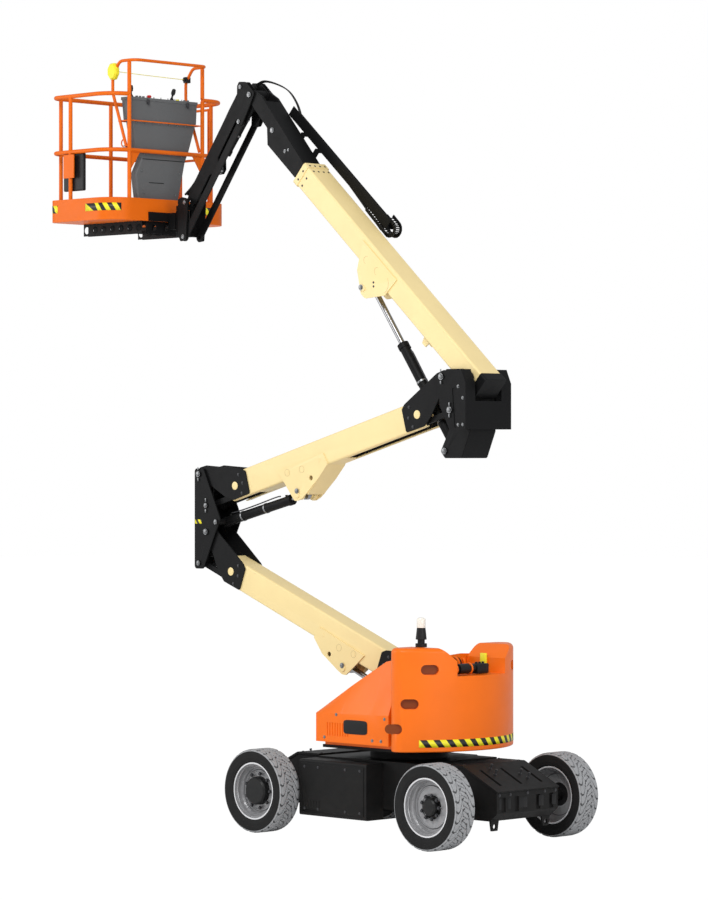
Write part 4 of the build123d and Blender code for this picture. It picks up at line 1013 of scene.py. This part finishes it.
class LIFT_OT_controls(bpy.types.Operator):
    """Switches, joysticks, buttons and trim on the platform's console"""
    bl_idname = "lift.controls"
    bl_label = "Console controls"

    def execute(self, context):
        lo, hi = corners("toe_board")
        face, foot = hi[0], lo[2]
        self.panel(face, foot + PANEL_RISE)
        self.pod(face, foot)
        return {"FINISHED"}

    def fit(self, name, parts, paint):
        joined(name, parts, "platform", paint)

    def stalk(self, place, lean):
        """A ribbed boot with a leaning grip."""
        boot = [(0, 0), (0.034, 0.0), (0.034, 0.005)]
        for k in range(4):
            boot += [(0.028 - k * 0.005, 0.009 + k * 0.008), (0.024 - k * 0.004, 0.014 + k * 0.008)]
        grip = [(0, 0), (0.008, 0.0), (0.009, 0.030), (0.017, 0.036), (0.020, 0.060), (0.016, 0.086),
                (0, 0.092)]
        place = np.array(place, float)
        return [disc_part(place, (0, 0, 1), boot + [(0, 0.046)], 28),
                disc_part(place + (0, 0, 0.034), lean, grip, 24)]

    def knob(self, place, r, h):
        skirt = [(0, 0), (r * 1.25, 0), (r * 1.25, h * 0.2), (r, h * 0.3), (r * 0.92, h), (0, h * 1.05)]
        return disc_part(place, (0, 0, 1), skirt, 24)

    def panel(self, x, top):
        """Black panel in the tray with its sticks, knobs, toggles and stop button."""
        panel = [brick((x - 0.158, -0.452, top - 0.002), (x - 0.066, 0.326, top + 0.003), 0.002)]
        self.fit("control_panel", panel, "black_plastic")
        sticks = [part for y, lean in STICKS for part in self.stalk((x - 0.112, y, top), lean)]
        self.fit("joysticks", sticks, "black_plastic")
        knobs = [self.knob((x - 0.105, y, top), 0.013, 0.030) for y in (-0.345, -0.305, -0.265, 0.235, 0.275)]
        knobs += [self.knob((x - 0.145, y, top), 0.009, 0.018) for y in np.linspace(-0.33, 0.27, 8)]
        self.fit("knobs", knobs, "console")
        lever = [(0, 0), (0.010, 0), (0.010, 0.006), (0.005, 0.009), (0.004, 0.026), (0, 0.028)]
        toggles = [disc_part((x - 0.080, -0.33 + i * 0.085, top + 0.002), (0, 0, 1), lever, 14)
                   for i in range(7)]
        self.fit("toggles", toggles, "steel")
        sx, sy = x + STOP_BUTTON[0], STOP_BUTTON[1]
        stop = [(0, 0), (0.013, 0), (0.013, 0.018), (0.020, 0.020), (0.021, 0.032), (0.016, 0.040),
                (0, 0.043)]
        self.fit("stop_button", [disc_part((sx, sy, top + 0.002), (0, 0, 1), stop, 28)], "red")
        collar = [(0.0215, 0.001), (0.030, 0.001), (0.030, 0.006), (0.0215, 0.006), (0.0215, 0.001)]
        yellow = [disc_part((sx, sy, top + 0.001), (0, 0, 1), collar, 28),
                  self.knob((x - 0.105, 0.150, top), 0.016, 0.030)]
        self.fit("yellow_controls", yellow, "yellow")

    def pod(self, x, z):
        """Latches, seams and bolts of the tray and the pod below it."""
        catches = []
        for y in (-0.265, 0.215):
            catches.append(brick((x - 0.043, y - 0.016, z + 1.050), (x - 0.033, y + 0.016, z + 1.092), 0.003))
            catches.append(brick((x - 0.036, y - 0.010, z + 1.040), (x - 0.027, y + 0.010, z + 1.060), 0.003))
        self.fit("tray_latches", catches, "dark_steel")
        seams = [brick((x - 0.051, -0.325, z + 0.553), (x - 0.0485, 0.194, z + 0.560), 0.0008),
                 brick((x - 0.059, -0.240, z + 0.345), (x - 0.0545, -0.060, z + 0.352), 0.0008)]
        self.fit("pod_seams", seams, "black_plastic")
        spots = [(-0.050, y, 0.880) for y in np.linspace(-0.40, 0.29, 8)]
        spots += [(-0.054, y, h) for y, h in ((-0.30, 0.600), (0.15, 0.600), (-0.33, 0.450), (0.12, 0.450))]
        spots += [(-0.0588, y, 0.250) for y in (-0.30, 0.08)]
        bolts = [part for back, y, h in spots
                 for part in hex_bolt((x + back, y, z + h), (1, 0, 0), 0.006, 0.004)]
        self.fit("pod_bolts", bolts, "steel")


class LIFT_OT_platform_fittings(bpy.types.Operator):
    """Frame under the tray, line with its reel and clamp on the hoop, hanging ring at the mid rail"""
    bl_idname = "lift.platform_fittings"
    bl_label = "Platform fittings"

    def execute(self, context):
        lo, hi = corners("toe_board")
        x, z = hi[0], lo[2]
        a, b, h = x - 0.188, x - 0.030, z + TRAY_FLOOR
        loop = [(b, -0.488, h), (b, 0.362, h), (a, 0.362, h), (a, -0.488, h), (b, -0.488, h)]
        sides = [swept_arrays(np.linspace(p, q, 3), 0.006, 10) for p, q in zip(loop[:-1], loop[1:])]
        joined("tray_frame", sides, "platform", "rail")
        self.line(np.array([x + REEL[0], REEL[1], z + REEL[2]]))
        t = np.linspace(0.15 * math.pi, 1.75 * math.pi, 14)
        ring = np.stack([x - 0.105 + 0.030 * np.cos(t), np.full(14, -0.500),
                         z + 0.690 + 0.032 * np.sin(t)], -1)
        joined("harness_hook", [swept_arrays(ring, 0.006, 10)], "platform", "rail")
        clip = brick((x - 0.100, -0.512, z + 0.640), (x - 0.060, -0.488, z + 0.668), 0.004)
        joined("harness_clip", [clip], "platform", "steel")
        return {"FINISHED"}

    def line(self, reel):
        """Eight-sided reel, the line it holds across the hoop, and the clamp at the line's end."""
        case = [(0, -0.030), (0.050, -0.030), (0.062, -0.018), (0.062, 0.012), (0.052, 0.030),
                (0.020, 0.034), (0, 0.034)]
        points, faces = disc_part((0, 0, 0), (0, -1, 0), case, 8)
        hub = brick(reel + (-0.020, -0.030, -0.012), reel + (0.020, 0.036, 0.012), 0.004)
        joined("line_reel", [(points * (0.95, 1.0, 1.28) + reel, faces), hub], "platform", "yellow",
               angle=20)
        x, end, z = reel[0], 0.352, reel[2]
        pts = [(x + 0.02, -0.49, z), (x + 0.015, -0.25, z - 0.005), (x + 0.01, 0.05, z - 0.009),
               (x, end, z - LINE_DROP)]
        hose("yellow_line", pts, 0.0028, "platform", 8, 8, "yellow")
        nozzle = [(0, 0), (0.016, 0), (0.016, 0.014), (0.006, 0.018), (0, 0.018)]
        clamp = [brick((x - 0.022, end - 0.002, z - 0.039), (x + 0.022, 0.408, z + 0.015), 0.006),
                 disc_part((x, end, z - LINE_DROP), (0, -1, 0), nozzle, 20)]
        joined("line_clamp", clamp, "platform", "black_plastic")


# ------------------------------------------------------------ wheels, chassis and tail
# nuts of a wheel
NUTS = 9
# nut circle and place of the nuts from the middle plane
NUT_RINGS = {"drive": (0.146, 0.800), "steer": (0.096, 0.802)}
# radius, depth from the tyre's outer side and width of each raised bead of a rim
BEADS = ((0.2215, 0.046, 0.006), (0.203, 0.1005, 0.007), (0.168, 0.0965, 0.004))
# the valve's radius, angle in radians and place from the middle plane
VALVE = (0.205, 1.0, 0.800)
# end faces of the covers, from the slewing axis
COVER_END = 1.3385
# angle round the tail in degrees and height of each pocket, and the radius of their floors, where dark plates of
# painted shade sit
POCKETS = ((35, 1.435), (46, 1.155), (55, 0.949))
POCKET_FLOOR_R = 0.8425
# height of the notch's floor over the tail's foot; the tube's place from the slewing axis and that floor
NOTCH_FLOOR = 0.618
NOTCH_TUBE = (0.735, 0.052)


class LIFT_OT_wheel_fittings(bpy.types.Operator):
    """Nuts, valve and the raised beads of each rim"""
    bl_idname = "lift.wheel_fittings"
    bl_label = "Wheel fittings"

    def execute(self, context):
        for end in ("drive", "steer"):
            for hand, side in HANDS:
                self.wheel(end, end + "_" + hand, side)
        return {"FINISHED"}

    def wheel(self, end, wheel, side):
        c = pin("wheel_%s_spin" % wheel)
        circle, nut_y = NUT_RINGS[end]
        out = (0, side, 0)
        parts = []
        for a in 2 * math.pi * np.arange(NUTS) / NUTS:
            spot = (c[0] + circle * math.cos(a), side * nut_y, c[2] + circle * math.sin(a))
            parts += hex_bolt(spot, out, 0.011, 0.014)
        r, a, y = VALVE
        stem = [(0, 0), (0.005, 0), (0.005, 0.03), (0.0035, 0.032), (0, 0.034)]
        parts.append(disc_part((c[0] + r * math.cos(a), side * y, c[2] + r * math.sin(a)), out, stem, 12))
        joined("nuts_" + wheel, parts, "wheel_" + wheel, "dark_steel")
        beads = []
        for r, deep, w in BEADS:
            ring = [(r - w, 0), (r - w * 0.5, w), (r + w * 0.5, w), (r + w, 0), (r, -w * 0.5), (r - w, 0)]
            beads.append(disc_part((c[0], side * (TYRE_FACE - deep), c[2]), out, ring, 96))
        joined("rim_beads_" + wheel, beads, "wheel_" + wheel, "silver")


class LIFT_OT_chassis_fittings(bpy.types.Operator):
    """Bolts of the boxes and covers, hooks on the covers' slopes and recesses in their ends"""
    bl_idname = "lift.chassis_fittings"
    bl_label = "Chassis fittings"

    def execute(self, context):
        x0 = pin("slew")[0]
        bolts, hooks, recesses = [], [], []
        peg = [(0, 0), (0.006, 0), (0.006, 0.030), (0.011, 0.033), (0.011, 0.044), (0, 0.046)]
        for s in (-1, 1):
            for x in (-0.56, -0.40, -0.08, 0.09):
                for z in (0.23, 0.58):
                    bolts += hex_bolt((x0 + x, s * 0.6865, z), (0, s, 0), 0.008, 0.005)
            for x in (0.72, 0.94):
                for y in (-0.33, 0.33):
                    bolts += hex_bolt((x0 + s * x, y, 0.6605), (0, 0, 1), 0.009, 0.005)
            for y in (-0.34, -0.21, 0.0, 0.21, 0.34):
                bolts += hex_bolt((x0 + s * COVER_END, y, 0.440), (s, 0, 0), 0.009, 0.005)
            for x, y in ((1.04, -0.125), (1.12, -0.155), (1.14, 0.125), (1.20, 0.155)):
                foot = (x0 + s * x, y, 0.6615 - (x - 0.966) * 0.492)
                slope = (s * 0.441, 0, 0.897)
                hooks += hex_bolt(foot, slope, 0.010, 0.006) + [disc_part(foot, slope, peg, 16)]
            for y, w in ((-0.335, 0.016), (-0.225, 0.020), (-0.055, 0.050), (0.165, 0.030), (0.320, 0.024)):
                face = x0 + s * (COVER_END - 0.0003)
                recesses.append(brick((face - 0.0015, y - w, 0.325), (face + 0.0015, y + w, 0.410), 0.001))
        joined("chassis_bolts", bolts, "chassis", "dark_steel")
        joined("cover_hooks", hooks, "chassis", "dark_steel")
        joined("front_recesses", recesses, "chassis", "black_plastic")
        return {"FINISHED"}


class LIFT_OT_tail_fittings(bpy.types.Operator):
    """Rings on the pivot tube and dark plates of painted shade on the floors of the tail's pockets"""
    bl_idname = "lift.tail_fittings"
    bl_label = "Tail fittings"

    def execute(self, context):
        x0 = pin("slew")[0]
        a0 = pin("lower_arm_raise")
        rings = [drum((a0[0], s * y, a0[2]), (0, s, 0), 0.064, 0.022, 36, 0.0562)
                 for s in (-1, 1) for y in (0.165, 0.235)]
        joined("pivot_rings", rings, "turntable", "orange")
        # dark plates on the pocket floors paint the shade inside the pockets
        floors = [self.pocket_shade_plate(x0, s, turn, z) for s in (-1, 1) for turn, z in POCKETS]
        joined("pocket_floors", floors, "turntable", "pocket")
        return {"FINISHED"}

    def pocket_shade_plate(self, x0, s, turn, z):
        """Thin dark plate of painted shade with round ends: across = 0.033 sgn(cos t) + 0.039 cos t, up = 0.039
        sin t.
        """
        turn = math.radians(turn)
        t = np.linspace(0, 2 * np.pi, 40, endpoint=False)
        out = np.array([math.cos(turn), s * math.sin(turn), 0])
        run = 0.033 * np.sign(np.cos(t)) + 0.039 * np.cos(t)
        near = np.array([x0, 0, z]) + out * POCKET_FLOOR_R + run[:, None] * np.array([-out[1], out[0], 0])
        near[:, 2] += 0.039 * np.sin(t)
        return np.concatenate([near, near - out * 0.004]), [tuple(range(40))] + walls(40, 1)


class LIFT_OT_boom_fittings(bpy.types.Operator):
    """Screws round the boom's collar, weld lines on its bracket, fittings on the fly section's nose"""
    bl_idname = "lift.boom_fittings"
    bl_label = "Boom fittings"

    def execute(self, context):
        screws, lines, nose = [], [], []
        cap = [(0, 0), (0.024, 0), (0.024, 0.004), (0.015, 0.006), (0.015, 0.012), (0, 0.013)]
        for s in (-1, 1):
            for run, rise in ((2.668, 0.045), (2.668, -0.045), (2.600, 0.020), (2.600, -0.060)):
                y = 0.1332 if run > 2.65 else 0.1252
                screws += hex_bolt(on_boom(run, rise, s * y), (0, s, 0), 0.0065, 0.003)
            for run, rise, r, t0, t1 in ((1.565, -0.037, 0.032, 60, 250), (1.406, -0.027, 0.032, 60, 250),
                                         (1.300, -0.080, 0.090, -60, 30)):
                lines.append(arc_line(on_boom(run, rise, 0), r, t0, t1, s * (BRACKET_FACE + 0.0002)))
            for run, rise in ((1.375, -0.125), (1.352, -0.150)):
                screws += hex_bolt(on_boom(run, rise, s * BRACKET_FACE), (0, s, 0), 0.0065, 0.003)
            nose.append(disc_part(on_boom(3.233, 0.054, s * 0.103), (0, s, 0), cap, 28))
            for run, rise, r, h in ((2.987, 0.015, 0.010, 0.006), (2.962, 0.050, 0.008, 0.005)):
                nose += hex_bolt(on_boom(run, rise, s * 0.103), (0, s, 0), r, h)
        up = on_boom(0, 1, 0) - on_boom(0, 0, 0)
        for y in (-0.09, -0.03, 0.03, 0.09):
            for run, rise in ((2.668, 0.1082), (2.600, 0.1002)):
                screws += hex_bolt(on_boom(run, rise, y), up, 0.0065, 0.003)
        joined("collar_screws", screws, "main_boom", "dark_steel")
        joined("bracket_welds", lines, "main_boom", "seam")
        joined("nose_fittings", nose, "fly_boom", "steel")
        return {"FINISHED"}


class LIFT_OT_tower_fittings(bpy.types.Operator):
    """Weld lines on the arms' brackets and bolts on the rear box of the top upright"""
    bl_idname = "lift.tower_fittings"
    bl_label = "Tower fittings"

    def execute(self, context):
        p = places()
        for body, a, b, run in (("lower_arm", "A0", "A1", 0.930), ("upper_arm", "B1", "B2", 1.139)):
            welds = [arc_line(along(p[a], p[b], run + ahead, rise), 0.030, 0, 360,
                              s * (FITTING_FACE + 0.0001))
                     for s in (-1, 1) for ahead, rise in ((-0.070, -0.277), (0.110, -0.295))]
            joined("lift_welds_" + body, welds, body, "seam")
        x, z = p["B2"][[0, 2]]
        spots = ((0.300, 0.085), (0.352, 0.400), (0.300, 0.400), (0.352, 0.180))
        bolts = [part for s in (-1, 1) for ahead, drop in spots
                 for part in hex_bolt((x + ahead, s * 0.2792, z - drop), (0, s, 0), 0.009, 0.006)]
        joined("upright_bolts", bolts, "top_upright", "steel")
        return {"FINISHED"}


class LIFT_OT_notch_fittings(bpy.types.Operator):
    """Tube across the tail's notch with its end rings and valve block, and a yellow tag on the wall"""
    bl_idname = "lift.notch_fittings"
    bl_label = "Notch fittings"

    def execute(self, context):
        x0 = pin("slew")[0]
        floor = corners("counterweight")[0][2] + NOTCH_FLOOR
        x, z = x0 + NOTCH_TUBE[0], floor + NOTCH_TUBE[1]
        tube = [drum((x, y, z), (0, 1, 0), r, w)
                for y, r, w in ((-0.245, 0.030, 0.050), (-0.190, 0.042, 0.120), (-0.062, 0.030, 0.060))]
        tube.append(brick((x0 + 0.695, 0.012, floor + 0.006), (x0 + 0.775, 0.150, floor + 0.088), 0.010))
        port = [(0, 0), (0.012, 0), (0.012, 0.022), (0, 0.024)]
        tube += [disc_part((x, y, floor + 0.080), (0, 0, 1), port, 16) for y in (0.035, 0.075, 0.115)]
        joined("notch_tube", tube, "turntable", "black_plastic")
        rings = [drum((x, y, z), (0, 1, 0), 0.049, 0.014, 32, 0.043) for y in (-0.244, -0.066)]
        rings.append(drum((x, -0.262, z), (0, 1, 0), 0.044, 0.016))
        joined("notch_rings", rings, "turntable", "orange")
        tag = brick((x0 + 0.560, 0.268, floor + 0.060), (x0 + 0.625, 0.2895, floor + 0.160), 0.004)
        joined("notch_tag", [tag], "turntable", "yellow")
        return {"FINISHED"}


class LIFT_OT_hood_fittings(bpy.types.Operator):
    """Bare badge plate and screws on each hood"""
    bl_idname = "lift.hood_fittings"
    bl_label = "Hood fittings"

    def execute(self, context):
        x0 = pin("slew")[0]
        x, z = soft_box(0.32)
        n = len(x)
        for hand, s in HANDS:
            rings = [np.stack([x0 + 0.005 + 0.138 * wide * x, np.full(n, s * y),
                               0.935 + 0.058 * high * z], -1)
                     for wide, high, y in ((1, 1, 0.6500), (1, 1, 0.6535), (0.96, 0.92, 0.6545))]
            joined("bare_badge_" + hand, [(np.concatenate(rings), walls(n, 2))], "turntable",
                   "black_plastic")
            screws = []
            for ahead, up in ((-0.36, 0.835), (0.20, 0.835), (-0.22, 1.03), (0.30, 0.835), (0.34, 1.02)):
                screws += hex_bolt((x0 + ahead, s * 0.6502, up), (0, s, 0), 0.009, 0.004)
            joined("hood_screws_" + hand, screws, "turntable", "steel")
        return {"FINISHED"}


# ------------------------------------------------------------ add-on
STEPS = [LIFT_OT_stage, LIFT_OT_finish_nodes, LIFT_OT_tyres, LIFT_OT_pin_heads, LIFT_OT_plugs,
         LIFT_OT_hazard, LIFT_OT_hoses, LIFT_OT_chain, LIFT_OT_controls, LIFT_OT_platform_fittings,
         LIFT_OT_wheel_fittings, LIFT_OT_chassis_fittings, LIFT_OT_tail_fittings, LIFT_OT_boom_fittings,
         LIFT_OT_tower_fittings, LIFT_OT_notch_fittings, LIFT_OT_hood_fittings]


class LIFT_PT_panel(bpy.types.Panel):
    """Lists the lift's building steps"""
    bl_idname = "LIFT_PT_panel"
    bl_label = "Boom lift"
    bl_space_type = "VIEW_3D"
    bl_region_type = "UI"
    bl_category = "Lift"

    def draw(self, context):
        for step in STEPS:
            self.layout.operator(step.bl_idname)


def register():
    for cls in (LIFT_PG_settings, *STEPS, LIFT_PT_panel):
        bpy.utils.register_class(cls)
    bpy.types.Scene.lift_settings = PointerProperty(type=LIFT_PG_settings)


def unregister():
    del bpy.types.Scene.lift_settings
    for cls in reversed((LIFT_PG_settings, *STEPS, LIFT_PT_panel)):
        bpy.utils.unregister_class(cls)


def main():
    register()
    for step in STEPS:
        group, name = step.bl_idname.split(".")
        getattr(getattr(bpy.ops, group), name)()


if __name__ == "__main__":
    main()
